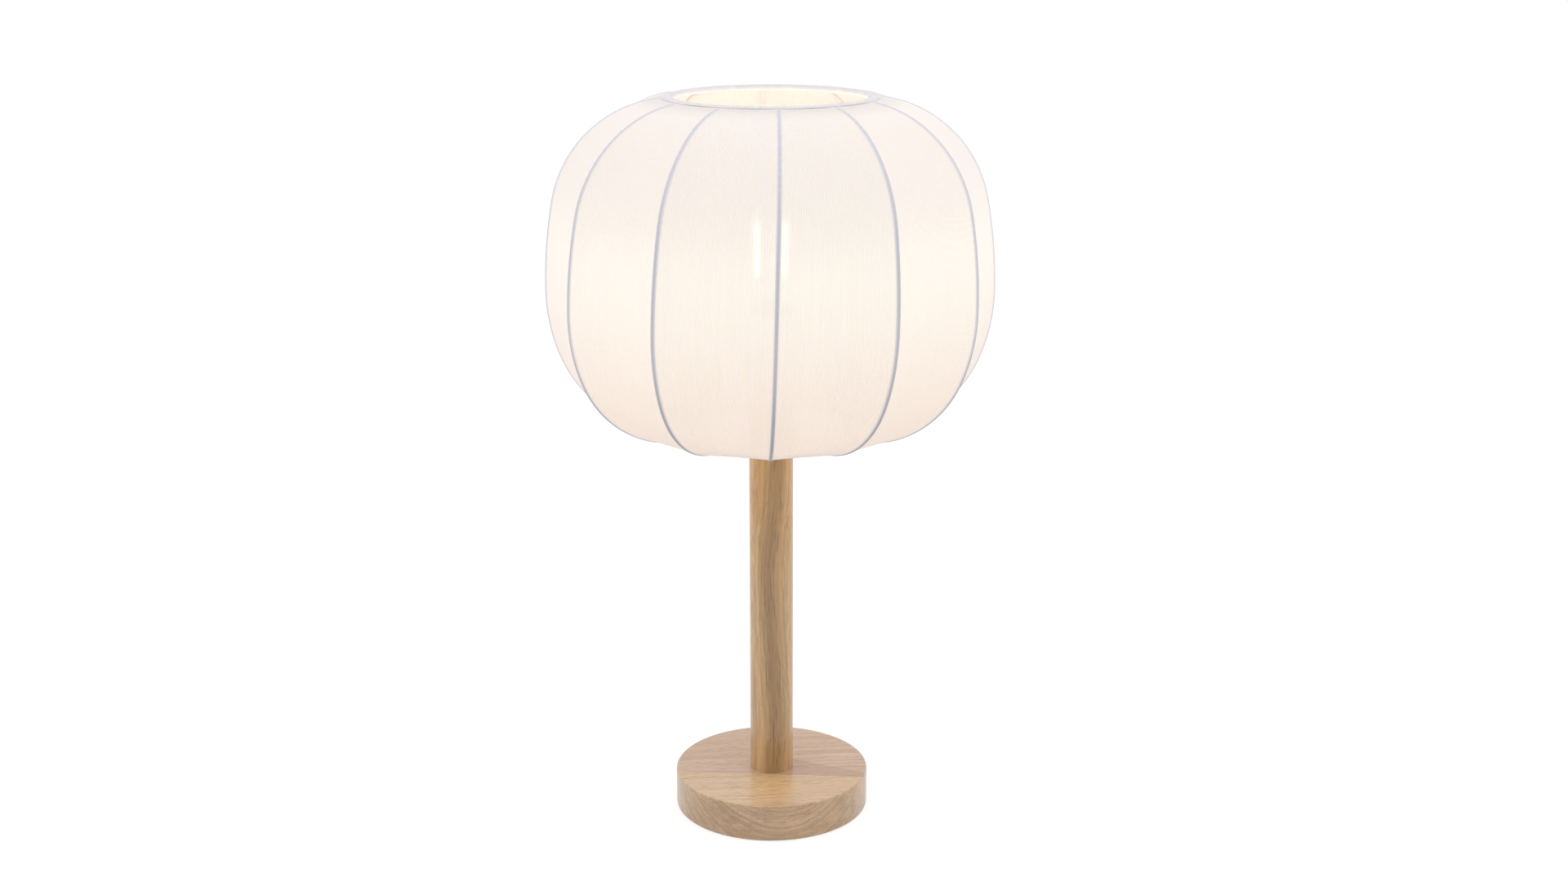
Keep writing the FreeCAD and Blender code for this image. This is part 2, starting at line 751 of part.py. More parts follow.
def panel_point(radius, height, slope, share, across, out):
    """A point of the gore: across is -1 to 1 between its edges, out is along the cloth's normal."""
    aside = lean * (height - widest_height)
    rib_at = math.hypot(radius, aside)
    edge = half_panel - math.asin((tape_radius + soft_gap) / rib_at)
    turn = across * edge
    body = 1 - (1 - math.sin(math.pi * share)) ** 3
    straight = rib_at * math.cos(half_panel) / math.cos(turn)
    drawn = out - panel_sag * body * (1 - across * across)
    at = rib_at + body * (straight - rib_at) + drawn * math.cos(slope)
    azimuth = half_panel + math.atan2(aside, radius) + turn
    return place(at, math.degrees(azimuth), height + drawn * math.sin(slope))


def panel_stations():
    """Radius, height, slope of the normal and share of the way down, from ring to ring."""
    lengths = [abs(end - start) * radius for middle, radius, start, end in arcs]
    stations = []
    done = 0.0
    for i, (middle, radius, start, end) in enumerate(arcs):
        for row in range(panel_rows[i] + 1):
            if row == 0 and i > 0:
                continue
            angle = start + (end - start) * row / panel_rows[i]
            if i == 0 and row == 0:
                angle -= tape_trim / radius
            if i == len(arcs) - 1 and row == panel_rows[i]:
                angle += tape_trim / radius
            point = on_arc(middle, radius, angle)
            share = (done + abs(angle - start) * radius) / sum(lengths)
            stations.append((-point.y, point.z, angle, share))
        done += lengths[i]
    return stations


def panel_skin(out):
    """One face of the gore."""
    grid = []
    for radius, height, slope, share in panel_stations():
        row = []
        for column in range(panel_columns + 1):
            across = 2.0 * column / panel_columns - 1
            row.append(panel_point(radius, height, slope, share, across, out))
        grid.append(row)
    surface = Part.BSplineSurface()
    surface.interpolate(grid)
    return surface


outer_skin = panel_skin(pleat_outside)
inner_skin = panel_skin(pleat_outside - pleat_depth)
faces = [outer_skin.toShape(), inner_skin.toShape()]
u_low, u_high, v_low, v_high = outer_skin.bounds()
for u in (u_low, u_high):
    faces.append(Part.makeRuledSurface(outer_skin.uIso(u).toShape(), inner_skin.uIso(u).toShape()))
for v in (v_low, v_high):
    faces.append(Part.makeRuledSurface(outer_skin.vIso(v).toShape(), inner_skin.vIso(v).toShape()))
sewn = Part.makeCompound(faces)
sewn.sewShape()
panel = Part.makeSolid(sewn.Shells[0])
if panel.Volume < 0:
    panel.reverse()
for i, copy in enumerate(spun(panel, rib_count, rib_turn)):
    save("panel_%02d" % (i + 1), copy)
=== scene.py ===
import bpy
import json
import math
from mathutils import Matrix, Vector

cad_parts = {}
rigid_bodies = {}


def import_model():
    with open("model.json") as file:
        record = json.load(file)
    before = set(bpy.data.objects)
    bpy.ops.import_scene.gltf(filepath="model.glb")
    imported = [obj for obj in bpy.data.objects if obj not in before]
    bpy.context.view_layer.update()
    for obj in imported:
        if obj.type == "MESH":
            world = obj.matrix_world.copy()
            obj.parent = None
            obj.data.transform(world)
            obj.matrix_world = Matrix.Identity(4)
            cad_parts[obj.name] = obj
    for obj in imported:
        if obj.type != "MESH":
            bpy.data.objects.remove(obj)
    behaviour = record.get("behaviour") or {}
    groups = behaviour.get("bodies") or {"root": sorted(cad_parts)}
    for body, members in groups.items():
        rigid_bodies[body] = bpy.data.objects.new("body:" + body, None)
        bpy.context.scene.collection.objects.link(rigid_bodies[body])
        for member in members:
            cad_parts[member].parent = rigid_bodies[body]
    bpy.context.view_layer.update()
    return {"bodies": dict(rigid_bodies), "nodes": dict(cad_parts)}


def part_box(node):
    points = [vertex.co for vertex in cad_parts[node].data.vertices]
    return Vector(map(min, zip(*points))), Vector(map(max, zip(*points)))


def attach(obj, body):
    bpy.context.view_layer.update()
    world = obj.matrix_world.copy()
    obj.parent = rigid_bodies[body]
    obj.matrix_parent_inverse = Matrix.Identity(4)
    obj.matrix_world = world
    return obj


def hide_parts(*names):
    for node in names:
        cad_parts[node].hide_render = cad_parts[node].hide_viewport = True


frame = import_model()

# ---- Camera ----
# The lamp is seen from the front and a little from above, with its axis just left of the middle of
# the picture, as in the photograph.

camera_place = (0.00878, -1.3424, 0.6443)
camera_tilt = math.radians(74.26)  # from straight down
camera_lens = 47.04  # mm on a 36 mm sensor

camera_data = bpy.data.cameras.new("studio_camera")
camera_data.lens = camera_lens
camera_data.sensor_width = 36.0
camera = bpy.data.objects.new("studio_camera", camera_data)
camera.location = camera_place
camera.rotation_euler = (camera_tilt, 0.0, 0.0)
bpy.context.scene.collection.objects.link(camera)
bpy.context.scene.camera = camera
bpy.context.scene.view_settings.view_transform = "Standard"

# ---- White studio ----
# A white table that runs back without a visible end, under plain white light from all round, with
# one large soft lamp above and one at each side. The table keeps a faint shadow of the lamp.

ambient_level = 0.79
table_reach = 12.0
table_white = 0.86
table_shadow_share = 0.30  # of the table's white that comes from the light that falls on it
table_own_white = 0.79
lamps_point_at = Vector((0, 0, 0.25))


def node(tree, kind, inputs=None, **options):
    """Adds a node; an input is a plain value or another node's output."""
    made = tree.nodes.new(kind)
    for option, value in options.items():
        setattr(made, option, value)
    for name, value in (inputs or {}).items():
        if isinstance(value, bpy.types.NodeSocket):
            tree.links.new(value, made.inputs[name])
        else:
            made.inputs[name].default_value = value
    return made


def seen_straight(tree):
    """1 where a ray comes from the camera, a reflection or glass, and 0 where it carries light."""
    path = node(tree, "ShaderNodeLightPath").outputs
    seen = path["Is Camera Ray"]
    for ray in ("Is Glossy Ray", "Is Transmission Ray"):
        larger = node(tree, "ShaderNodeMath", {0: seen, 1: path[ray]}, operation="MAXIMUM")
        seen = larger.outputs[0]
    return seen


world = bpy.data.worlds.new("white_studio")
world.use_nodes = True
bpy.context.scene.world = world
sky = world.node_tree
sky.nodes.clear()
sky_light = node(
    sky, "ShaderNodeBackground", {"Color": (1.0, 1.0, 1.0, 1.0), "Strength": ambient_level}
)
sky_seen = node(sky, "ShaderNodeBackground", {"Color": (1.0, 1.0, 1.0, 1.0), "Strength": 1.0})
sky_mix = node(
    sky,
    "ShaderNodeMixShader",
    {0: seen_straight(sky), 1: sky_light.outputs[0], 2: sky_seen.outputs[0]},
)
node(sky, "ShaderNodeOutputWorld", {"Surface": sky_mix.outputs[0]})

table_finish = bpy.data.materials.new("studio_table_white")
table_finish.use_nodes = True
tree = table_finish.node_tree
tree.nodes.clear()
white = (table_white, table_white, table_white, 1.0)
dim = (table_shadow_share, table_shadow_share, table_shadow_share, 1.0)
lit = node(tree, "ShaderNodeBsdfDiffuse", {"Color": white})
shaded = node(tree, "ShaderNodeBsdfDiffuse", {"Color": dim})
own = node(tree, "ShaderNodeEmission", {"Color": (1.0, 1.0, 1.0, 1.0), "Strength": table_own_white})
both = node(tree, "ShaderNodeAddShader", {0: shaded.outputs[0], 1: own.outputs[0]})
top = node(
    tree, "ShaderNodeMixShader", {0: seen_straight(tree), 1: lit.outputs[0], 2: both.outputs[0]}
)
node(tree, "ShaderNodeOutputMaterial", {"Surface": top.outputs[0]})

table_mesh = bpy.data.meshes.new("studio_table")
edge = table_reach / 2
table_mesh.from_pydata(
    [(-edge, -edge, 0), (edge, -edge, 0), (edge, edge, 0), (-edge, edge, 0)], [], [(0, 1, 2, 3)]
)
table_mesh.materials.append(table_finish)
table = bpy.data.objects.new("studio_table", table_mesh)
bpy.context.scene.collection.objects.link(table)

for name, place, size, power in (
    ("softbox_above", (0.1, -0.1, 1.9), 1.6, 6.0),
    ("softbox_left", (-1.5, -0.1, 0.6), 1.0, 2.2),
    ("softbox_right", (1.5, -0.1, 0.6), 1.0, 2.0),
):
    lamp = bpy.data.lights.new(name, "AREA")
    lamp.size = size
    lamp.energy = power
    softbox = bpy.data.objects.new(name, lamp)
    softbox.location = place
    softbox.rotation_euler = (lamps_point_at - Vector(place)).to_track_quat("-Z", "Y").to_euler()
    bpy.context.scene.collection.objects.link(softbox)

# ---- Base ----
# A thick disc of light rubberwood, glued up from two staves, turned, sanded and oiled. Its growth
# rings lie at about 45 degrees, so they show as U shapes in front and as long grain on top.

base_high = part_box("base_disc")[1]


def paint(red, green, blue):
    """A colour given in the 0 to 255 steps of a paint chart."""
    steps = (red / 255, green / 255, blue / 255)
    return (*[c / 12.92 if c <= 0.04045 else ((c + 0.055) / 1.055) ** 2.4 for c in steps], 1.0)


def tree_of(*values):
    """The node tree that the first output among the values belongs to."""
    return next(value.id_data for value in values if isinstance(value, bpy.types.NodeSocket))


def reckon(operation, *values, clamp=False):
    """One sum on numbers or on other nodes' outputs."""
    inputs = dict(enumerate(values))
    made = node(tree_of(*values), "ShaderNodeMath", inputs, operation=operation, use_clamp=clamp)
    return made.outputs[0]


def noise(where, scale, detail=2.0, rough=0.5, twist=0.0):
    """A soft random field with a mean of one half."""
    inputs = {"Vector": where, "Scale": scale, "Detail": detail, "Roughness": rough}
    inputs["Distortion"] = twist
    return node(tree_of(where), "ShaderNodeTexNoise", inputs).outputs[0]


def times(*values):
    """One number multiplied by another."""
    return reckon("MULTIPLY", *values)


def less(first, second):
    """One number taken off another."""
    return reckon("SUBTRACT", first, second)


def times_plus(first, second, third):
    """Two numbers multiplied, and a third added."""
    return reckon("MULTIPLY_ADD", first, second, third)


def on_vectors(operation, *values, scale=None):
    """One sum on places or directions."""
    inputs = dict(enumerate(values))
    if scale is not None:
        inputs["Scale"] = scale
    made = node(tree_of(*values), "ShaderNodeVectorMath", inputs, operation=operation)
    return made.outputs["Value" if operation in ("LENGTH", "DOT_PRODUCT") else "Vector"]


def stretched(where, factors):
    """Coordinates multiplied one by one."""
    return on_vectors("MULTIPLY", where, factors)


def on_piece(tree):
    """A point's place on the lamp, in metres."""
    return node(tree, "ShaderNodeTexCoord").outputs["Object"]


def axes_of(where):
    """The X, Y and Z of a place or direction."""
    return node(tree_of(where), "ShaderNodeSeparateXYZ", {0: where}).outputs


def joined(**parts):
    """A place or direction put together from X, Y and Z."""
    return node(tree_of(*parts.values()), "ShaderNodeCombineXYZ", parts).outputs[0]


def between(value, low, high, first=0.0, last=1.0):
    """A value taken smoothly from low..high to first..last."""
    inputs = {"Value": value, 1: low, 2: high, 3: first, 4: last}
    smooth = {"interpolation_type": "SMOOTHSTEP"}
    return node(tree_of(value), "ShaderNodeMapRange", inputs, **smooth).outputs[0]


def tint(share, first, second):
    """One colour laid over another."""
    inputs = {0: share, 6: first, 7: second}
    return node(tree_of(share, first), "ShaderNodeMix", inputs, data_type="RGBA").outputs[2]


def raised(height, strength, depth):
    """A bump of the given depth in metres."""
    inputs = {"Height": height, "Strength": strength, "Distance": depth}
    return node(tree_of(height), "ShaderNodeBump", inputs).outputs[0]


def new_finish(name, plain):
    """A finish with one shader, whose plain values are set on its own sockets."""
    finish = bpy.data.materials.new(name)
    finish.use_nodes = True
    shader = finish.node_tree.nodes["Principled BSDF"]
    for label, value in plain.items():
        shader.inputs[label].default_value = value
    return finish, finish.node_tree, shader


def feed(shader, label, value):
    """Leads a node's output to one of the shader's sockets."""
    shader.id_data.links.new(value, shader.inputs[label])


def dress(finish, *names):
    """Gives the finish to pieces that come from the construction."""
    for name in names:
        for slot in frame["nodes"][name].material_slots:
            slot.material = finish


pore_clusters = (22.0, 190.0, 190.0)  # per metre, along the grain and across it


def pores(grain, length, width, share):
    """Dark open pores: long thin ovals along the first axis of grain."""
    cells = stretched(grain, (1 / length, 1 / width, 1 / width))
    inputs = {"Vector": cells, "Scale": 1.0, "Randomness": 1.0}
    spots = node(tree_of(grain), "ShaderNodeTexVoronoi", inputs).outputs["Distance"]
    gather = noise(stretched(grain, pore_clusters), 1.0, 3.0)
    reach = between(gather, 0.36, 0.62, 0.55 * share, share)
    return less(1.0, between(reckon("DIVIDE", spots, reach), 0.6, 1.0))


base_grain_turn = math.radians(-5.0)  # of the grain about Z, away from X
ring_slope = 1.1  # rise of a growth ring for each metre back
ring_pitch = 0.0032
glue_line_front = 0.0155  # distance of the glue line in front of the axis
glue_line_turn = 0.072
glue_line_width = 0.00022
band_turn = 0.46
band_back = 0.0164
band_start = 0.006
lamp_glow_spot = (0.001, -0.034, base_high.z)  # middle of a painted pool of warm lamp light on the top, in front of the post
lamp_glow_spot_size = (0.020, 0.026, 0.012)
edge_round = (0.0009, 0.0002)  # depth below the top where the side's darker tone, end grain and painted shade, starts and where it is full
base_wander = (9.0, 26.0, 26.0)  # waves of the grain per metre, along it and across it
base_streaks = (10.0, 230.0, 230.0)
base_hairs = (60.0, 1300.0, 1300.0)
base_clouds = (14.0, 34.0, 34.0)
base_pore_length, base_pore_width = 0.009, 0.00065
lit_top_pale, lit_top_tan = paint(230, 199, 168), paint(209, 171, 136)
end_pale, end_tan = paint(197, 168, 138), paint(162, 132, 103)
front_stave_tone, back_stave_tone = paint(230, 193, 142), paint(203, 166, 141)
cloud_tone, lamp_glow_tone, band_tone = paint(214, 178, 140), paint(240, 198, 142), paint(176, 137, 107)
ring_brown, hair_brown = paint(158, 122, 90), paint(156, 119, 88)
pore_brown, glue_brown = paint(138, 98, 70), paint(142, 106, 78)

base_finish, tree, shader = new_finish(
    "oiled_rubberwood_base", {"IOR": 1.5, "Coat Weight": 0.5, "Coat Roughness": 0.24}
)
place = on_piece(tree)
turned = node(
    tree,
    "ShaderNodeVectorRotate",
    {"Vector": place, "Angle": base_grain_turn},
    rotation_type="Z_AXIS",
).outputs[0]
axes = axes_of(place)
grain_axes = axes_of(turned)

# Two staves meet at the glue line, each with its own rings
to_line = times_plus(axes["X"], glue_line_turn, axes["Y"])
to_line = reckon("ADD", to_line, glue_line_front)
back_stave = reckon("GREATER_THAN", to_line, 0.0)
glue = reckon("LESS_THAN", reckon("ABSOLUTE", to_line), glue_line_width)
wander = noise(stretched(turned, base_wander), 1.0, 3.0)
slant = times(grain_axes["Y"], times_plus(back_stave, -0.55, ring_slope))
ring_place = less(axes["Z"], slant)
ring_place = times_plus(wander, 0.011, ring_place)
ring_count = reckon("DIVIDE", ring_place, ring_pitch)
ring_width = noise(joined(X=ring_place), 150.0, 1.0)
ring_count = times_plus(ring_width, 2.4, ring_count)
ring_phase = reckon("FRACT", ring_count)
late_wood = between(ring_phase, 0.35, 0.97)
late_wood = times(late_wood, between(ring_phase, 1.0, 0.97))

long_streaks = noise(stretched(turned, base_streaks), 1.0, 6.0, 0.62)
fine_streaks = noise(stretched(turned, base_hairs), 1.0, 4.0, 0.7)
clouds = noise(stretched(turned, base_clouds), 1.0, 3.0, 0.55)
ring_tone = noise(joined(X=ring_count, Y=back_stave), 0.8, 2.0)
# The top is painted paler and pinker than the turned side: partly darker end grain on the side,
# partly painted sheen and light from above on the top.
end_grain_and_side_shade = between(axes["Z"], *[base_high.z - depth for depth in edge_round], 1.0, 0.0)
light_wood = tint(end_grain_and_side_shade, lit_top_pale, end_pale)
dark_wood = tint(end_grain_and_side_shade, lit_top_tan, end_tan)
streak = times_plus(less(ring_tone, 0.5), 1.1, long_streaks)
colour = tint(between(streak, 0.28, 0.72), light_wood, dark_wood)
colour = tint(between(clouds, 0.40, 0.70, 0.0, 0.45), colour, cloud_tone)
stave_tone = tint(back_stave, front_stave_tone, back_stave_tone)
colour = tint(between(end_grain_and_side_shade, 0.0, 1.0, 0.42, 0.15), colour, stave_tone)
# A painted pool of warm light from the lamp's glow, on the top in front of the post.
to_glow_spot = on_vectors("SUBTRACT", place, lamp_glow_spot)
to_glow_spot = stretched(to_glow_spot, [1 / size for size in lamp_glow_spot_size])
to_glow_spot = on_vectors("LENGTH", to_glow_spot)
colour = tint(between(to_glow_spot, 1.3, 0.2, 0.0, 0.75), colour, lamp_glow_tone)
ring_line = times(late_wood, between(end_grain_and_side_shade, 0.0, 1.0, 0.20, 0.36))
colour = tint(ring_line, colour, ring_brown)
colour = tint(between(fine_streaks, 0.45, 0.75, 0.0, 0.36), colour, hair_brown)

# A darker, pinker wedge of the back stave lies between a slanting ring line and the glue line
to_band = times_plus(axes["X"], band_turn, axes["Y"])
to_band = less(to_band, band_back)
to_band = times_plus(less(wander, 0.5), 0.006, to_band)
in_band = times(back_stave, between(to_band, 0.0008, -0.0008))
in_band = times(in_band, between(axes["X"], band_start - 0.02, band_start + 0.02))
band_line = times(back_stave, between(reckon("ABSOLUTE", to_band), 0.0011, 0.0002))
band_share = reckon("MAXIMUM", times(in_band, 0.5), times(band_line, 0.3))
colour = tint(band_share, colour, band_tone)
pore_marks = pores(turned, base_pore_length, base_pore_width, 0.44)
colour = tint(times(pore_marks, 0.5), colour, pore_brown)
colour = tint(times(glue, 0.55), colour, glue_brown)
feed(shader, "Base Color", colour)
feed(shader, "Roughness", between(fine_streaks, 0.2, 0.8, 0.27, 0.42))
dents = less(times(fine_streaks, 0.5), pore_marks)
feed(shader, "Normal", raised(dents, 0.25, 0.0001))
dress(base_finish, "base_disc")

# ---- Felt under the base ----
# A round of dark grey pressed felt, glued in a shallow recess. It stands half a millimetre below
# the wood, and its cut rim is a little frayed.

felt_low, felt_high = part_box("base_pad")
felt_radius = felt_high.x
felt_rim_steps = 240
felt_rounding = 0.0003


def mesh_piece(name, points, faces, finish):
    """A new piece of the lamp from its points and faces."""
    mesh = bpy.data.meshes.new(name)
    mesh.from_pydata(points, [], faces)
    mesh.polygons.foreach_set("use_smooth", [True] * len(mesh.polygons))
    mesh.materials.append(finish)
    piece = bpy.data.objects.new(name, mesh)
    bpy.context.scene.collection.objects.link(piece)
    return piece


def lathed(name, outline, steps, finish, fray):
    """A closed piece turned about Z from an outline of (radius, height), axis to axis."""
    points = [(0.0, 0.0, outline[0][1])]
    for radius, height in outline[1:-1]:
        for i in range(steps):
            angle = math.tau * i / steps
            reach = radius + fray(angle, height)
            points.append((reach * math.sin(angle), -reach * math.cos(angle), height))
    points.append((0.0, 0.0, outline[-1][1]))
    last = len(points) - 1
    faces = [(0, 1 + (i + 1) % steps, 1 + i) for i in range(steps)]
    for ring in range(len(outline) - 3):
        start = 1 + ring * steps
        for i in range(steps):
            j = (i + 1) % steps
            faces.append((start + i, start + j, start + steps + j, start + steps + i))
    start = last - steps
    faces += [(last, start + i, start + (i + 1) % steps) for i in range(steps)]
    return mesh_piece(name, points, faces, finish)


felt_finish, tree, shader = new_finish(
    "pressed_felt", {"Roughness": 0.95, "IOR": 1.3, "Sheen Weight": 0.35}
)
place = on_piece(tree)
tufts = noise(place, 900.0, 6.0, 0.7, 1.5)
hairs = noise(stretched(place, (1.0, 3.0, 1.0)), 2600.0, 3.0, 0.6, 2.0)
felt_mix = times_plus(hairs, 0.5, times(tufts, 0.5))
colour = tint(between(felt_mix, 0.3, 0.7), paint(44, 42, 42), paint(92, 90, 90))
feed(shader, "Base Color", colour)
feed(shader, "Normal", raised(felt_mix, 0.6, 0.0003))


def felt_fray(angle, height):
    """How far the cut rim stands out or in, all the way round the felt."""
    return -0.00025 + 0.00012 * math.sin(37 * angle) * math.sin(11 * angle + 900 * height)


felt_outline = [(0.0, felt_low.z)]
for share in (0.3, 0.6, 0.85, 0.95):
    felt_outline.append((felt_radius * share, felt_low.z))
for i in range(5):
    turn = math.radians(90 * i / 4)
    radius = felt_radius - felt_rounding * (1 - math.sin(turn))
    felt_outline.append((radius, felt_low.z + felt_rounding * (1 - math.cos(turn))))
felt_outline.append((felt_radius, felt_high.z))
for share in (0.95, 0.6):
    felt_outline.append((felt_radius * share, felt_high.z))
felt_outline.append((0.0, felt_high.z))
felt_disc = lathed("felt_disc", felt_outline, felt_rim_steps, felt_finish, felt_fray)
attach(felt_disc, "stand")
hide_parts("base_pad")

# ---- Ballast ----
# A turned ring of bare grey steel in the base, held by three countersunk screws with a zinc coat.
# The nut and washers that pull the lamp together have the same zinc coat.


def metal(name, colour, rough, brushed=0.0):
    """A plated or bare metal with fine turning marks and dull spots."""
    finish, tree, shader = new_finish(name, {"Metallic": 1.0})
    place = on_piece(tree)
    dull = noise(place, 240.0, 5.0, 0.6)
    marks = noise(stretched(place, (60.0, 60.0, 9000.0)), 1.0, 2.0)
    shade = tuple(c * 0.72 for c in colour[:3]) + (1.0,)
    mixed = tint(between(dull, 0.35, 0.75, 0.0, 0.6), colour, shade)
    feed(shader, "Base Color", mixed)
    feed(shader, "Roughness", between(dull, 0.3, 0.8, rough, rough + 0.18))
    feed(shader, "Normal", raised(marks, 0.15 + brushed, 0.00003))
    return finish


dress(metal("bare_ballast_steel", paint(128, 128, 131), 0.48, 0.25), "ballast_ring")
zinc = metal("bright_zinc_coat", paint(206, 208, 212), 0.26)
dress(zinc, "ballast_screws", "rod_nut", "rod_washer", "lock_washer", "grub_screw")

# ---- Cable bush ----
# A black nylon bush pressed into the back of the base, ready for a round 6 mm supply cable. The
# cable isn't part of the lamp as it is photographed.


def moulded(name, colour, rough, grain_size=1800.0, depth=0.00004):
    """A moulded plastic with a fine eroded grain and faint flow marks."""
    finish, tree, shader = new_finish(name, {"IOR": 1.49})
    place = on_piece(tree)
    grain = noise(place, grain_size, 3.0, 0.6)
    flow = noise(stretched(place, (30.0, 30.0, 12.0)), 1.0, 3.0)
    shade = tuple(c * 0.90 for c in colour[:3]) + (1.0,)
    feed(shader, "Base Color", tint(between(flow, 0.3, 0.75), colour, shade))
    feed(shader, "Roughness", between(grain, 0.3, 0.7, rough - 0.05, rough + 0.08))
    feed(shader, "Normal", raised(grain, 0.3, depth))
    return finish


dress(moulded("black_nylon", paint(38, 38, 40), 0.45), "cable_bushing")

# ---- Threaded tube ----
# An M10 tube of rolled, zinc-coated steel that runs through base and post into the lampholder. The
# thread shows as fine grooves on its bare ends.

tube_thread_pitch = 0.001

tube_finish, tree, shader = new_finish("zinc_coated_thread", {"Metallic": 1.0, "Roughness": 0.32})
place = on_piece(tree)
axes = axes_of(place)
turn = reckon("DIVIDE", reckon("ARCTAN2", axes["Y"], axes["X"]), math.tau)
groove = reckon("PINGPONG", times_plus(axes["Z"], 1 / tube_thread_pitch, turn), 0.5)
# The groove bottoms are painted darker: painted shade in the thread.
colour = tint(between(groove, 0.0, 0.5), paint(150, 152, 156), paint(208, 210, 213))
feed(shader, "Base Color", colour)
feed(shader, "Normal", raised(groove, 0.9, 0.0006))
dress(tube_finish, "threaded_tube")

# ---- Terminal block and inner lead ----
# A white nylon block with two brass clamps joins the supply to two cores, which run up the tube.
# The cores have a clear-grey insulation over twisted strands.

brass = metal("turned_brass", paint(212, 176, 104), 0.24)
dress(moulded("white_nylon_block", paint(222, 221, 214), 0.5), "terminal_block")
dress(brass, "block_terminals", "holder_terminals", "centre_contact", "screw_shell", "post_washer")

strand_pitch = 0.006

lead_finish, tree, shader = new_finish(
    "clear_core_insulation",
    {"Roughness": 0.28, "IOR": 1.5, "Coat Weight": 0.4, "Coat Roughness": 0.1},
)
place = on_piece(tree)
axes = axes_of(place)
across = times_plus(axes["Y"], 1500.0, reckon("DIVIDE", axes["Z"], strand_pitch))
strands = reckon("PINGPONG", across, 0.5)
colour = tint(between(strands, 0.0, 0.5), paint(176, 150, 122), paint(208, 203, 196))
feed(shader, "Base Color", colour)
feed(shader, "Normal", raised(strands, 0.2, 0.0001))
dress(lead_finish, "inner_lead")

# ---- Post ----
# A plain rubberwood dowel with the same oil finish. Its grain runs up and down, with long dark pore
# lines, and it is a little wavy near the top.

post_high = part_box("post")[1]
post_radius = post_high.x
post_wave = 0.003  # sideways swing of its grain
post_wave_crest = 0.268
post_wave_length = 0.205
post_drift = 0.005  # uneven part of the swing
post_ring_pitch = 0.0036
heartwood_and_shade_middle = 0.0008  # of the darker band in the middle: heartwood, and painted shade that leaves the left and right sides lighter
heartwood_and_shade_reach = 0.0072
post_mark = (0.0016, -post_radius, 0.050)  # a long dark pore line low on the front
post_mark_size = (0.00045, 0.004, 0.024)
post_swing = (12.0, 12.0, 16.0)  # waves per metre on X, Y and Z
post_streaks = (5.0, 340.0, 340.0)  # waves per metre, along the grain and across it
post_hairs = (14.0, 1500.0, 1500.0)
post_clouds = (3.0, 75.0, 75.0)
post_pores = (0.034, 0.00075, 0.42)  # length, width and share
post_short_pores = (0.010, 0.00070, 0.36)
post_pale, post_tan = paint(214, 178, 131), paint(178, 141, 95)
post_cloud_tone, post_lamp_glow_tone = paint(205, 168, 122), paint(214, 158, 80)
post_foot_tone, heartwood_and_shade_brown = paint(222, 172, 118), paint(146, 113, 72)
post_hair_brown, post_ring_brown = paint(130, 96, 58), paint(150, 118, 86)
post_pore_brown = paint(96, 67, 40)

post_finish, tree, shader = new_finish(
    "oiled_rubberwood_post", {"IOR": 1.5, "Coat Weight": 0.5, "Coat Roughness": 0.25}
)
place = on_piece(tree)
axes = axes_of(place)
swing = noise(stretched(place, post_swing), 1.0, 2.0)
from_crest = less(axes["Z"], post_wave_crest)
wave = reckon("COSINE", times(from_crest, math.tau / post_wave_length))
drift = times(less(swing, 0.5), -post_drift)
shift = times_plus(wave, -post_wave, drift)
aside = reckon("ADD", axes["X"], shift)
grain = joined(X=axes["Z"], Y=aside, Z=axes["Y"])
long_streaks = noise(stretched(grain, post_streaks), 1.0, 5.0, 0.68)
fine_streaks = noise(stretched(grain, post_hairs), 1.0, 4.0, 0.7)
broad = noise(stretched(grain, post_clouds), 1.0, 3.0, 0.5)
colour = tint(between(long_streaks, 0.32, 0.68), post_pale, post_tan)
colour = tint(between(broad, 0.40, 0.70, 0.0, 0.5), colour, post_cloud_tone)
# Painted warm lamp light on the top of the post, just below the shade.
colour = tint(between(axes["Z"], 0.14, 0.29, 0.0, 0.6), colour, post_lamp_glow_tone)
colour = tint(between(axes["Z"], 0.085, 0.035, 0.0, 0.2), colour, post_foot_tone)
# A darker band down the middle of the front and back: partly heartwood, partly painted shade, so
# that the left and right sides of the post look lit from the sides.
heartwood_and_shade = reckon("DIVIDE", less(aside, heartwood_and_shade_middle), heartwood_and_shade_reach)
heartwood_and_shade = reckon("ABSOLUTE", times_plus(less(long_streaks, 0.5), 1.2, heartwood_and_shade))
heartwood_and_shade = between(heartwood_and_shade, 1.3, 0.2)
colour = tint(times(heartwood_and_shade, 0.68), colour, heartwood_and_shade_brown)
colour = tint(between(fine_streaks, 0.45, 0.75, 0.0, 0.45), colour, post_hair_brown)
ring_place = times_plus(axes["Y"], 0.5, aside)
ring_place = times_plus(broad, 0.010, ring_place)
ring_phase = reckon("FRACT", reckon("DIVIDE", ring_place, post_ring_pitch))
late_wood = times(between(ring_phase, 0.45, 0.97), between(ring_phase, 1.0, 0.97))
colour = tint(times(late_wood, 0.25), colour, post_ring_brown)
pore_marks = pores(grain, *post_pores)
short_pores = pores(grain, *post_short_pores)
every_pore = reckon("MAXIMUM", pore_marks, times(short_pores, 0.6))
every_pore = times(every_pore, times_plus(heartwood_and_shade, 0.5, 0.5))
off_mark = on_vectors("SUBTRACT", place, post_mark)
off_mark = on_vectors("DIVIDE", off_mark, post_mark_size)
mark_reach = on_vectors("LENGTH", off_mark)
mark = between(times_plus(fine_streaks, 0.5, mark_reach), 1.25, 0.85)
every_pore = reckon("MAXIMUM", every_pore, mark)
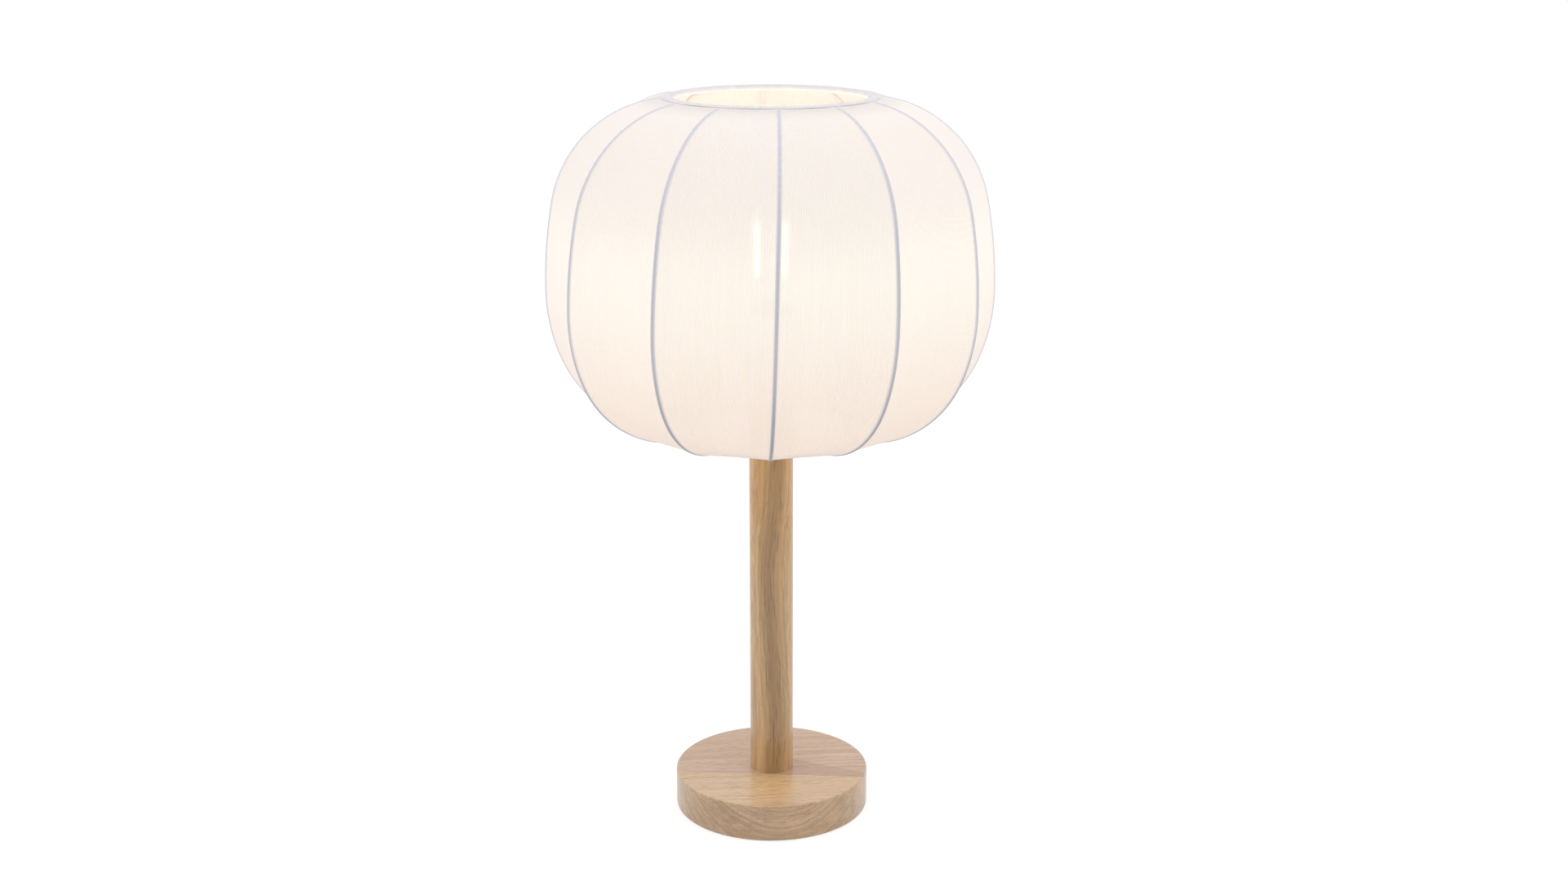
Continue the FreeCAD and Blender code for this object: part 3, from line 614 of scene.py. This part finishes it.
colour = tint(times(every_pore, 0.62), colour, post_pore_brown)
feed(shader, "Base Color", colour)
feed(shader, "Roughness", between(fine_streaks, 0.2, 0.8, 0.30, 0.46))
dents = less(times(fine_streaks, 0.5), every_pore)
feed(shader, "Normal", raised(dents, 0.3, 0.0001))
dress(post_finish, "post")

# ---- Lampholder ----
# A white thermoset E27 holder: cap, skirt with a shoulder, and a ribbed clamp ring that holds the
# shade. The insert inside is unglazed ceramic.

dress(
    moulded("white_thermoset", paint(236, 233, 226), 0.34, 2200.0),
    "holder_cap",
    "holder_skirt",
    "shade_clamp_ring",
)
dress(moulded("unglazed_ceramic", paint(228, 224, 214), 0.72, 900.0, 0.0001), "holder_insert")

# ---- Bulb ----
# A clear round bulb on a nickel-plated E27 cap. Four upright filaments with a yellow coat glow
# between nickel wires on a glass stem.

bulb_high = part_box("bulb_glass")[1]
filament_low, filament_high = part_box("bulb_filaments")
filament_glow = 17.0
bulb_power = 0.14  # watts of the light that the bulb throws round it
bulb_light_colour = (0.95, 0.97, 0.95)


def to_and_fro(value, pitch):
    """0 to a half and back to 0 over each pitch."""
    return reckon("PINGPONG", times(value, 1 / pitch), 0.5)


bulb_glass, tree, shader = new_finish(
    "clear_bulb_glass", {"Roughness": 0.0, "IOR": 1.45, "Transmission Weight": 1.0}
)
place = on_piece(tree)
dust = noise(place, 60.0, 4.0)
clouded = tint(between(dust, 0.4, 0.8), paint(254, 254, 253), paint(248, 248, 246))
feed(shader, "Base Color", clouded)
feed(shader, "Normal", raised(noise(place, 30.0, 1.0), 0.05, 0.0003))
dress(bulb_glass, "bulb_glass")

stem_glass, tree, shader = new_finish(
    "pressed_stem_glass",
    {"IOR": 1.5, "Transmission Weight": 1.0, "Base Color": paint(250, 251, 250)},
)
place = on_piece(tree)
ripple = noise(stretched(place, (300.0, 300.0, 90.0)), 1.0, 2.0)
feed(shader, "Roughness", between(ripple, 0.3, 0.7, 0.02, 0.12))
feed(shader, "Normal", raised(ripple, 0.3, 0.0004))
dress(stem_glass, "bulb_stem")

filament_finish, tree, shader = new_finish("glowing_filament_coat", {"Roughness": 0.6, "IOR": 1.4})
place = on_piece(tree)
height = axes_of(place)["Z"]
end_share = between(height, filament_low.z, filament_low.z + 0.003)
top_share = between(height, filament_high.z, filament_high.z - 0.003)
chips = to_and_fro(height, 0.0016)
lit_share = times(end_share, top_share)
level = times(lit_share, between(chips, 0.0, 0.5, 0.85 * filament_glow, filament_glow))
feed(shader, "Emission Strength", level)
feed(shader, "Emission Color", tint(chips, paint(255, 240, 212), paint(255, 246, 226)))
feed(shader, "Base Color", tint(chips, paint(240, 196, 92), paint(250, 214, 120)))
dress(filament_finish, "bulb_filaments")

dress(metal("nickel_plate", paint(214, 211, 204), 0.2), "bulb_cap", "bulb_contact", "bulb_leads")
dress(moulded("black_fired_glass", paint(24, 24, 27), 0.18, 600.0), "bulb_insulator")

bulb_lamp = bpy.data.lights.new("bulb_light", "POINT")
bulb_lamp.energy = bulb_power
bulb_lamp.color = bulb_light_colour
bulb_lamp.shadow_soft_size = bulb_high.x + 0.001
bulb_lamp.use_soft_falloff = False
bulb_light = bpy.data.objects.new("bulb_light", bulb_lamp)
bulb_light.location = (0.0, 0.0, bulb_high.z - bulb_high.x)
bulb_light.visible_camera = False
bulb_light.visible_glossy = False
bulb_light.visible_transmission = False
bulb_light.parent = frame["bodies"]["bulb"]
bpy.context.scene.collection.objects.link(bulb_light)

# ---- Shade wires ----
# Twelve bent steel ribs, two rings, three sloping arms and the fitter ring that rests on the
# lampholder, spot-welded together and powder-coated white.

ring_low, ring_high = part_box("top_ring")
wire_size = ring_high.z - ring_low.z
mouth_radius = ring_high.x - wire_size / 2
top_ring_height = ring_high.z - wire_size / 2
bottom_ring_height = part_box("bottom_ring")[1].z - wire_size / 2
shade_width = 0.300
tape_radius = 0.00165  # of a rib with its tape
widest_radius = shade_width / 2 - tape_radius
widest_height = 0.370
upper_side = (0.323, math.radians(11.0))  # radius and turn of the flat arc above the widest point
lower_side = (0.117, math.radians(23.6))
rib_count = 12
rib_turn = math.radians(1.6)  # of the whole shade about Z
rib_lean = math.radians(1.6)  # of each rib sideways

coated_wire, tree, shader = new_finish("white_powder_coat", {"IOR": 1.5})
place = on_piece(tree)
peel = noise(place, 1300.0, 3.0)
feed(shader, "Base Color", tint(peel, paint(238, 237, 232), paint(226, 225, 219)))
feed(shader, "Roughness", between(peel, 0.3, 0.7, 0.34, 0.46))
feed(shader, "Normal", raised(peel, 0.35, 0.00005))
rib_names = ["rib_%02d" % (i + 1) for i in range(rib_count)]
dress(coated_wire, "top_ring", "bottom_ring", "fitter_ring", "fitter_arms", *rib_names)


def rib_arcs():
    """The arcs of a rib from the top ring down, each as (middle, radius, start, end)."""
    halves = []
    for sign, (radius, turn), ring in (
        (1, upper_side, top_ring_height),
        (-1, lower_side, bottom_ring_height),
    ):
        angle = sign * turn
        out = Vector((math.cos(angle), math.sin(angle)))
        middle = Vector((widest_radius - radius, widest_height))
        leave = middle + out * radius
        reach = Vector((mouth_radius, ring)) - leave
        shoulder = -reach.length_squared / (2 * reach.dot(out))
        shoulder_middle = leave - out * shoulder
        last = Vector((mouth_radius, ring)) - shoulder_middle
        end = math.atan2(last.y, last.x)
        halves.append(((middle, radius, 0.0, angle), (shoulder_middle, shoulder, angle, end)))
    (side, round_top), (low_side, round_foot) = halves
    return [
        (round_top[0], round_top[1], round_top[3], round_top[2]),
        (side[0], side[1], side[3], side[2]),
        low_side,
        round_foot,
    ]


arcs = rib_arcs()
arc_lengths = [abs(end - start) * radius for middle, radius, start, end in arcs]
rib_length = sum(arc_lengths)


def along_rib(distance):
    """Radius, height and the turn of the outward side at a distance down the rib."""
    for (middle, radius, start, end), length in zip(arcs, arc_lengths):
        if distance <= length or middle is arcs[-1][0]:
            angle = start + (end - start) * distance / length
            return middle.x + radius * math.cos(angle), middle.y + radius * math.sin(angle), angle
        distance -= length


# ---- Tape round the ribs ----
# A thin cotton tape is wound round each rib from ring to ring, every turn lapped over the last one.
# The edges of the cloth panels are caught under it. Its grey-blue is partly its own colour and
# partly painted shadow of the rib against the glowing cloth.

tape_width = 0.010
tape_lap_pitch = 0.0052
tape_along = tape_width * math.hypot(1.0, tape_lap_pitch / (math.tau * tape_radius))
tape_thickness = 0.00007
tape_steps_per_turn = 12
tape_start = 0.0016  # from the ring wires' middle
tape_warp_pitch, tape_weft_pitch = 0.0005, 0.0004
tape_foot_shade_tone = paint(150, 151, 160)
tape_waist_tone = paint(204, 201, 204)
tape_top_light_tone = paint(218, 218, 228)
tape_worn_tone, tape_edge_tone = paint(198, 196, 206), paint(172, 170, 182)
tape_flank_tone, tape_thread_tone = paint(244, 241, 244), paint(236, 235, 242)

tape_cloth, tree, shader = new_finish(
    "grey_cotton_tape",
    {"Roughness": 0.85, "IOR": 1.35, "Sheen Weight": 0.25, "Sheen Roughness": 0.5},
)
place = on_piece(tree)
height = axes_of(place)["Z"]
strip = node(tree, "ShaderNodeUVMap", uv_map="tape").outputs[0]
strip_axes = axes_of(strip)
warp = to_and_fro(strip_axes["X"], tape_warp_pitch)
weft = to_and_fro(strip_axes["Y"], tape_weft_pitch)
weave = reckon("MAXIMUM", warp, weft)
worn = noise(place, 320.0, 4.0)
# The tape is painted darker towards the foot and lighter towards the top: painted shade from light
# falling from above.
tape_shaded_low = tint(between(height, 0.28, 0.37), tape_foot_shade_tone, tape_waist_tone)
tape_shaded_tone = tint(between(height, 0.37, 0.49), tape_shaded_low, tape_top_light_tone)
colour = tint(between(worn, 0.3, 0.75, 0.0, 0.25), tape_shaded_tone, tape_worn_tone)
off_middle = reckon("ABSOLUTE", less(strip_axes["Y"], tape_width / 2))
edge_line = between(off_middle, 0.42 * tape_width, 0.5 * tape_width)
colour = tint(times(edge_line, 0.05), colour, tape_edge_tone)
# The outward face keeps the grey and the flanks go almost white: painted shadow of the rib against
# the glowing cloth, narrower than the tape.
outward = node(tree, "ShaderNodeAttribute", attribute_name="tape_side").outputs["Fac"]
colour = tint(between(outward, 0.5, 0.98, 0.85, 0.0), colour, tape_flank_tone)
colour = tint(times(weave, 0.15), colour, tape_thread_tone)
feed(shader, "Base Color", colour)
feed(shader, "Normal", raised(weave, 0.3, 0.00008))


def new_tree(name, sizes, whole=()):
    """A geometry tree with a mesh in and out and named inputs; some are whole numbers."""
    tree = bpy.data.node_groups.new(name, "GeometryNodeTree")
    tree.interface.new_socket("Geometry", in_out="INPUT", socket_type="NodeSocketGeometry")
    for label in sizes:
        kind = "NodeSocketInt" if label in whole else "NodeSocketFloat"
        tree.interface.new_socket(label, in_out="INPUT", socket_type=kind)
    tree.interface.new_socket("Geometry", in_out="OUTPUT", socket_type="NodeSocketGeometry")
    return tree, node(tree, "NodeGroupInput").outputs


def end_tree(tree, geometry, finish):
    """Makes the copies real, gives them the finish and closes the tree."""
    real = node(tree, "GeometryNodeRealizeInstances", {0: geometry}).outputs[0]
    smooth = node(tree, "GeometryNodeSetShadeSmooth", {0: real}).outputs[0]
    dressed = node(
        tree, "GeometryNodeSetMaterial", {"Geometry": smooth, "Material": finish}
    ).outputs[0]
    node(tree, "NodeGroupOutput", {0: dressed})


def noted(tree, geometry, label, value, kind, domain="POINT"):
    """Keeps a value on the mesh under a name, for the finish to read."""
    inputs = {"Geometry": geometry, "Name": label, "Value": value}
    return node(
        tree, "GeometryNodeStoreNamedAttribute", inputs, data_type=kind, domain=domain
    ).outputs[0]


def grown(piece, tree, values):
    """Runs the tree on the piece and leaves the result as its plain mesh."""
    modifier = piece.modifiers.new(tree.name, "NODES")
    modifier.node_group = tree
    for item in tree.interface.items_tree:
        if item.in_out == "INPUT" and item.name in values:
            modifier[item.identifier] = values[item.name]
    seen = piece.evaluated_get(bpy.context.evaluated_depsgraph_get())
    made = bpy.data.meshes.new_from_object(seen)
    piece.modifiers.remove(modifier)
    made.name = piece.name
    piece.data = made
    return piece


def path_piece(name, points, closed=False):
    """A bare line of points, as the start of a geometry tree."""
    mesh = bpy.data.meshes.new(name)
    links = [(i, i + 1) for i in range(len(points) - 1)]
    if closed:
        links.append((len(points) - 1, 0))
    mesh.from_pydata(points, links, [])
    piece = bpy.data.objects.new(name, mesh)
    bpy.context.scene.collection.objects.link(piece)
    return piece


tape_tree, given = new_tree(
    "wound_tape",
    ["Turns", "Steps", "Tape width", "Path length", "Rib radius", "Lap", "Ribs", "First rib"],
    whole=["Steps", "Ribs"],
)
t = tape_tree
strip = node(
    t,
    "GeometryNodeMeshGrid",
    {"Size X": 1.0, "Size Y": 1.0, "Vertices X": given["Steps"], "Vertices Y": 4},
)
spot = axes_of(node(t, "GeometryNodeInputPosition").outputs[0])
down = reckon("ADD", spot["X"], 0.5)
over = reckon("ADD", spot["Y"], 0.5)
turn_length = times(down, times(given["Turns"], math.tau * tape_radius))
tape_uv = joined(X=turn_length, Y=times(over, given["Tape width"]))
marked = noted(t, strip.outputs[0], "tape", tape_uv, "FLOAT2", "CORNER")
across = reckon("DIVIDE", times(spot["Y"], given["Tape width"]), given["Path length"])
factor = reckon("ADD", down, across, clamp=True)
rib_curve = node(t, "GeometryNodeMeshToCurve", {0: given["Geometry"]}).outputs[0]
sample = node(
    t, "GeometryNodeSampleCurve", {"Curves": rib_curve, "Factor": factor}, mode="FACTOR"
).outputs
third = on_vectors("CROSS_PRODUCT", sample["Tangent"], sample["Normal"])
angle = times(down, times(given["Turns"], math.tau))
reach = times_plus(over, given["Lap"], given["Rib radius"])
one = on_vectors("SCALE", sample["Normal"], scale=times(reach, reckon("COSINE", angle)))
two = on_vectors("SCALE", third, scale=times(reach, reckon("SINE", angle)))
where = on_vectors("ADD", sample["Position"], one)
where = on_vectors("ADD", where, two)
facing_out = on_vectors("CROSS_PRODUCT", sample["Tangent"], (1.0, 0.0, 0.0))
offset = on_vectors("NORMALIZE", on_vectors("ADD", one, two))
turned_out = on_vectors("DOT_PRODUCT", offset, facing_out)
marked = noted(t, marked, "tape_side", turned_out, "FLOAT")
wound = node(t, "GeometryNodeSetPosition", {"Geometry": marked, "Position": where}).outputs[0]
spots = node(t, "GeometryNodePoints", {"Count": given["Ribs"]}).outputs[0]
rib_number = node(t, "GeometryNodeInputIndex").outputs[0]
step = reckon("DIVIDE", math.tau, given["Ribs"])
rib_angle = times_plus(rib_number, step, given["First rib"])
facing = joined(Z=rib_angle)
copies = node(
    t, "GeometryNodeInstanceOnPoints", {"Points": spots, "Instance": wound, "Rotation": facing}
).outputs[0]
end_tree(t, copies, tape_cloth)

lean_about = Matrix.Translation((0, -widest_radius, widest_height))
lean_about = lean_about @ Matrix.Rotation(rib_lean, 4, "Y")
lean_about = lean_about @ Matrix.Translation((0, widest_radius, -widest_height))
tape_run = rib_length - 2 * tape_start
tape_turns = tape_run / tape_lap_pitch
tape_path_steps = 120
tape_path = []
for i in range(tape_path_steps + 1):
    radius, height = along_rib(tape_start + tape_run * i / tape_path_steps)[:2]
    tape_path.append(lean_about @ Vector((0.0, -radius, height)))
rib_tape_wraps = path_piece("rib_tape_wraps", tape_path)
grown(
    rib_tape_wraps,
    tape_tree,
    {
        "Turns": tape_turns,
        "Steps": int(tape_turns * tape_steps_per_turn),
        "Tape width": tape_along,
        "Path length": tape_run,
        "Rib radius": tape_radius - tape_thickness,
        "Lap": tape_thickness,
        "Ribs": rib_count,
        "First rib": rib_turn,
    },
)
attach(rib_tape_wraps, "shade")
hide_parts("rib_tapes")

# ---- Pleated panels ----
# Twelve gores of thin white cloth, set in narrow upright pleats and stretched between the ribs. The
# folds run together towards the rings. The bulb behind them makes the valleys warm and the crests
# stay cool white.

folds_across = 48
points_per_fold = 6
panel_rows = 66
fold_depth = 0.00038
fold_middle = 0.0010  # from the rib's middle, along the outward normal
fold_lift = 0.0006  # more than that beside a ring, where the cloth goes over the wire
fold_lift_run = 0.012
panel_sag = 0.0015
panel_tuck = 0.0009  # from a rib's middle to the panel's edge, under the tape
panel_end = 0.0012  # from a ring's middle, inside the hem
half_panel = math.pi / rib_count
cloth_thread_pitch = 0.00036
fold_narrowing = 1.6  # power with which the folds flatten towards the rings
fold_waver = (0.8, 7.0)  # unevenness of the folds, across and along them
valley_white = paint(226, 221, 217)
crest_white = paint(228, 225, 228)
thread_white = paint(245, 243, 243)
glow_foot, glow_waist, glow_top = paint(146, 121, 92), paint(155, 147, 129), paint(130, 119, 104)

pleated_cloth, tree, shader = new_finish(
    "pleated_white_cloth",
    {
        "Roughness": 0.55,
        "IOR": 1.02,
        "Transmission Weight": 0.05,
        "Sheen Weight": 0.12,
        "Sheen Roughness": 0.5,
    },
)
place = on_piece(tree)
height = axes_of(place)["Z"]
cloth_uv = node(tree, "ShaderNodeUVMap", uv_map="pleats").outputs[0]
cloth_axes = axes_of(cloth_uv)
crest = times_plus(reckon("COSINE", times(cloth_axes["X"], math.tau)), 0.5, 0.5)
uneven = noise(stretched(cloth_uv, (0.45, 5.0, 1.0)), 1.0, 2.0)
drift = noise(stretched(place, (9.0, 9.0, 5.0)), 1.0, 2.0)
thread = to_and_fro(cloth_axes["Y"], cloth_thread_pitch)
colour = tint(crest, valley_white, crest_white)
colour = tint(times(thread, 0.08), colour, thread_white)
feed(shader, "Base Color", colour)
feed(shader, "Normal", raised(thread, 0.2, 0.00006))

glow_low = tint(between(height, 0.278, 0.405), glow_foot, glow_waist)
glow = tint(between(height, 0.40, 0.485), glow_low, glow_top)
valley = less(1.0, crest)
fold_show = times(valley, between(height, 0.40, 0.455, 1.0, 0.15))
pleat_glow = times_plus(fold_show, between(uneven, 0.35, 0.65, 0.16, 0.24), 0.875)
pleat_glow = times(pleat_glow, between(drift, 0.3, 0.7, 0.97, 1.03))
to_top = between(cloth_axes["Y"], 0.005, 0.028, 0.42, 1.0)
to_foot = between(cloth_axes["Y"], rib_length - 0.018, rib_length - 0.046, 0.5, 1.0)
pleat_glow = times(pleat_glow, times(to_top, to_foot))
feed(shader, "Emission Color", glow)
feed(shader, "Emission Strength", pleat_glow)

pleat_tree, given = new_tree(
    "pleat_folds",
    ["Fold depth", "Full radius", "Unevenness", "Panel seed"],
    whole=["Panel seed"],
)
t = pleat_tree
uv = node(
    t, "GeometryNodeInputNamedAttribute", {"Name": "fold_place"}, data_type="FLOAT_VECTOR"
).outputs[0]
uv_axes = axes_of(uv)
wave = reckon("COSINE", times(uv_axes["X"], math.tau))
seed_shift = times(given["Panel seed"], 7.3)
noise_place = joined(
    X=times(uv_axes["X"], fold_waver[0]), Y=times(uv_axes["Y"], fold_waver[1]), Z=seed_shift
)
off = less(noise(noise_place, 1.0, 1.0), 0.5)
size = times_plus(off, given["Unevenness"], 1.0)
flat_place = on_vectors(
    "MULTIPLY", node(t, "GeometryNodeInputPosition").outputs[0], (1.0, 1.0, 0.0)
)
from_axis = on_vectors("LENGTH", flat_place)
size = times(
    size, reckon("POWER", reckon("DIVIDE", from_axis, given["Full radius"]), fold_narrowing)
)
move = times(times(wave, size), times(given["Fold depth"], 0.5))
along = on_vectors("SCALE", node(t, "GeometryNodeInputNormal").outputs[0], scale=move)
folded = node(
    t, "GeometryNodeSetPosition", {"Geometry": given["Geometry"], "Offset": along}
).outputs[0]
end_tree(t, folded, pleated_cloth)


def gore_point(distance, across):
    """A point of the smooth gore: a distance down the rib, and -1 to 1 from edge to edge."""
    radius, height, slope = along_rib(distance)
    share = distance / rib_length
    aside = math.tan(rib_lean) * (height - widest_height)
    rib_at = math.hypot(radius, aside)
    edge = half_panel - math.asin(panel_tuck / rib_at)
    turn = across * edge
    body = 1 - (1 - math.sin(math.pi * min(max(share, 0.0), 1.0))) ** 3
    straight = rib_at * math.cos(half_panel) / math.cos(turn)
    from_ring = min(distance, rib_length - distance)
    eased = max(0.0, 1 - from_ring / fold_lift_run)
    lift = fold_lift * eased * eased * (3 - 2 * eased)
    drawn = fold_middle + lift - panel_sag * body * (1 - across * across)
    at = rib_at + body * (straight - rib_at) + drawn * math.cos(slope)
    azimuth = half_panel + math.atan2(aside, radius) + turn
    return at, azimuth, height + drawn * math.sin(slope)


def panel_grid(name, first_turn):
    """The smooth gore as a grid whose corners carry fold number and distance down the cloth."""
    columns = folds_across * points_per_fold
    points = []
    places = []
    for row in range(panel_rows + 1):
        distance = panel_end + (rib_length - 2 * panel_end) * row / panel_rows
        for column in range(columns + 1):
            at, azimuth, height = gore_point(distance, 2.0 * column / columns - 1)
            azimuth += first_turn
            points.append((at * math.sin(azimuth), -at * math.cos(azimuth), height))
            places.append((column / points_per_fold, distance, 0.0))
    faces = []
    for row in range(panel_rows):
        for column in range(columns):
            a = row * (columns + 1) + column
            faces.append((a, a + columns + 1, a + columns + 2, a + 1))
    piece = mesh_piece(name, points, faces, pleated_cloth)
    stored = piece.data.attributes.new("fold_place", "FLOAT_VECTOR", "POINT")
    stored.data.foreach_set("vector", [c for p in places for c in p])
    layer = piece.data.uv_layers.new(name="pleats")
    corners = [places[loop.vertex_index][:2] for loop in piece.data.loops]
    layer.data.foreach_set("uv", [c for p in corners for c in p])
    return piece


for i in range(rib_count):
    panel = panel_grid("pleated_panel_%02d" % (i + 1), rib_turn + math.tau * i / rib_count)
    grown(
        panel,
        pleat_tree,
        {
            "Fold depth": fold_depth,
            "Full radius": widest_radius,
            "Unevenness": 0.2,
            "Panel seed": i,
        },
    )
    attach(panel, "shade")
    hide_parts("panel_%02d" % (i + 1))

# ---- Hems ----
# A strip of doubled cloth is folded over each ring wire and sewn through the ends of the panels
# with a row of small stitches.

hem_radius = 0.0021
hem_flap = 0.0050  # how far the strip comes down outside the cloth
hem_edge = 0.0015  # from the rib's middle, where the strip ends on the cloth
hem_inner_flap = 0.0005
hem_steps = 504
hem_ripple = 0.00003
stitch_pitch = 0.0026
stitch_length = 0.0019
stitch_size = 0.00018
hem_warp_pitch, hem_weft_pitch = 0.0008, 0.0004
hem_grey = paint(222, 220, 226)
hem_white = paint(231, 228, 231)
hem_thread_tone = paint(240, 238, 242)
hem_fold_shadow_tone, hem_glow = paint(198, 196, 206), paint(255, 246, 234)

hem_cloth, tree, shader = new_finish(
    "doubled_hem_cloth",
    {"Roughness": 0.85, "IOR": 1.3, "Sheen Weight": 0.2, "Sheen Roughness": 0.5},
)
place = on_piece(tree)
hem_uv = node(tree, "ShaderNodeUVMap", uv_map="hem").outputs[0]
hem_axes = axes_of(hem_uv)
warp = to_and_fro(hem_axes["X"], hem_warp_pitch)
weft = to_and_fro(hem_axes["Y"], hem_weft_pitch)
weave = reckon("MAXIMUM", warp, weft)
folded = noise(place, 140.0, 3.0)
colour = tint(between(folded, 0.3, 0.7), hem_grey, hem_white)
colour = tint(times(weave, 0.15), colour, hem_thread_tone)
# A darker line along the fold: painted shadow of the ring wire inside.
off_fold = reckon("ABSOLUTE", less(hem_axes["Y"], hem_flap + 0.0012))
colour = tint(between(off_fold, 0.0035, 0.0005, 0.0, 0.2), colour, hem_fold_shadow_tone)
feed(shader, "Base Color", colour)
feed(shader, "Normal", raised(weave, 0.4, 0.0001))
shader.inputs["Emission Color"].default_value = hem_glow
inside = between(hem_axes["Y"], hem_flap + 0.0030, hem_flap + 0.0050, 0.05, 0.17)
feed(shader, "Emission Strength", inside)

thread_finish, tree, shader = new_finish(
    "white_sewing_thread", {"Roughness": 0.7, "IOR": 1.4, "Sheen Weight": 0.3}
)
place = on_piece(tree)
twist = noise(place, 2500.0, 2.0)
feed(shader, "Base Color", tint(twist, paint(226, 224, 230), paint(205, 202, 210)))
feed(shader, "Normal", raised(twist, 0.4, 0.0001))


def hem_strip(name, ring_height, distance, side):
    """A strip folded over the ring wire: down outside the cloth, round the wire and down inside."""
    slope = along_rib(distance)[2]
    out = Vector((math.cos(slope), math.sin(slope)))
    down = Vector((math.sin(slope), -math.cos(slope))) * side
    centre = Vector((mouth_radius, ring_height))
    section = []
    for share in (1.0, 0.75, 0.5, 0.25):
        radius, height, slope = along_rib(abs(distance - hem_flap * share))
        lie = hem_radius - (hem_radius - hem_edge) * share
        section.append(Vector((radius + lie * math.cos(slope), height + lie * math.sin(slope))))
    for i in range(9):
        angle = math.pi * i / 8
        section.append(
            centre + out * hem_radius * math.cos(angle) - down * hem_radius * math.sin(angle)
        )
    for share in (0.33, 0.66, 1.0):
        section.append(
            centre - out * (hem_radius - 0.00025 * share) + down * hem_inner_flap * share
        )
    points = []
    places = []
    run = 0.0
    for k, spot in enumerate(section):
        run += (spot - section[k - 1]).length if k else 0.0
        for i in range(hem_steps + 1):
            angle = math.tau * i / hem_steps
            ripple = hem_ripple * math.cos(angle * hem_steps / 4)
            reach = spot.x + ripple
            points.append(
                (reach * math.sin(angle), -reach * math.cos(angle), spot.y + ripple * 0.5)
            )
            places.append((angle * mouth_radius, run))
    faces = []
    for k in range(len(section) - 1):
        for i in range(hem_steps):
            a = k * (hem_steps + 1) + i
            corners = (a, a + 1, a + hem_steps + 2, a + hem_steps + 1)
            faces.append(corners if side > 0 else corners[::-1])
    piece = mesh_piece(name, points, faces, hem_cloth)
    layer = piece.data.uv_layers.new(name="hem")
    layer.data.foreach_set(
        "uv", [c for loop in piece.data.loops for c in places[loop.vertex_index]]
    )
    return piece, run, (section[1] + section[2]) / 2 + out * 0.00005


stitch_tree, given = new_tree(
    "stitch_row", ["Stitch pitch", "Stitch length", "Thread size", "Slant"]
)
t = stitch_tree
row = node(t, "GeometryNodeMeshToCurve", {0: given["Geometry"]}).outputs[0]
spread = node(
    t, "GeometryNodeCurveToPoints", {"Curve": row, "Length": given["Stitch pitch"]}, mode="LENGTH"
).outputs
bead = node(t, "GeometryNodeMeshUVSphere", {"Segments": 6, "Rings": 5, "Radius": 0.5}).outputs[0]
stitch_shape = joined(X=given["Thread size"], Y=given["Thread size"], Z=given["Stitch length"])
stitches = node(
    t,
    "GeometryNodeInstanceOnPoints",
    {
        "Points": spread["Points"],
        "Instance": bead,
        "Rotation": spread["Rotation"],
        "Scale": stitch_shape,
    },
).outputs[0]
tipped = node(
    t,
    "GeometryNodeRotateInstances",
    {"Instances": stitches, "Rotation": joined(X=given["Slant"])},
).outputs[0]
end_tree(t, tipped, thread_finish)

for name, node_name, ring_height, distance, side in (
    ("top_hem_strip", "top_hem", top_ring_height, 0.0, 1),
    ("bottom_hem_strip", "bottom_hem", bottom_ring_height, rib_length, -1),
):
    strip, strip_width, stitch_spot = hem_strip(name, ring_height, distance, side)
    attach(strip, "shade")
    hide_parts(node_name)
    row = []
    for i in range(hem_steps):
        angle = math.tau * i / hem_steps
        row.append(
            (stitch_spot.x * math.sin(angle), -stitch_spot.x * math.cos(angle), stitch_spot.y)
        )
    stitches = path_piece(node_name + "_stitches", row, closed=True)
    grown(
        stitches,
        stitch_tree,
        {
            "Stitch pitch": stitch_pitch,
            "Stitch length": stitch_length,
            "Thread size": stitch_size,
            "Slant": 0.25,
        },
    )
    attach(stitches, "shade")
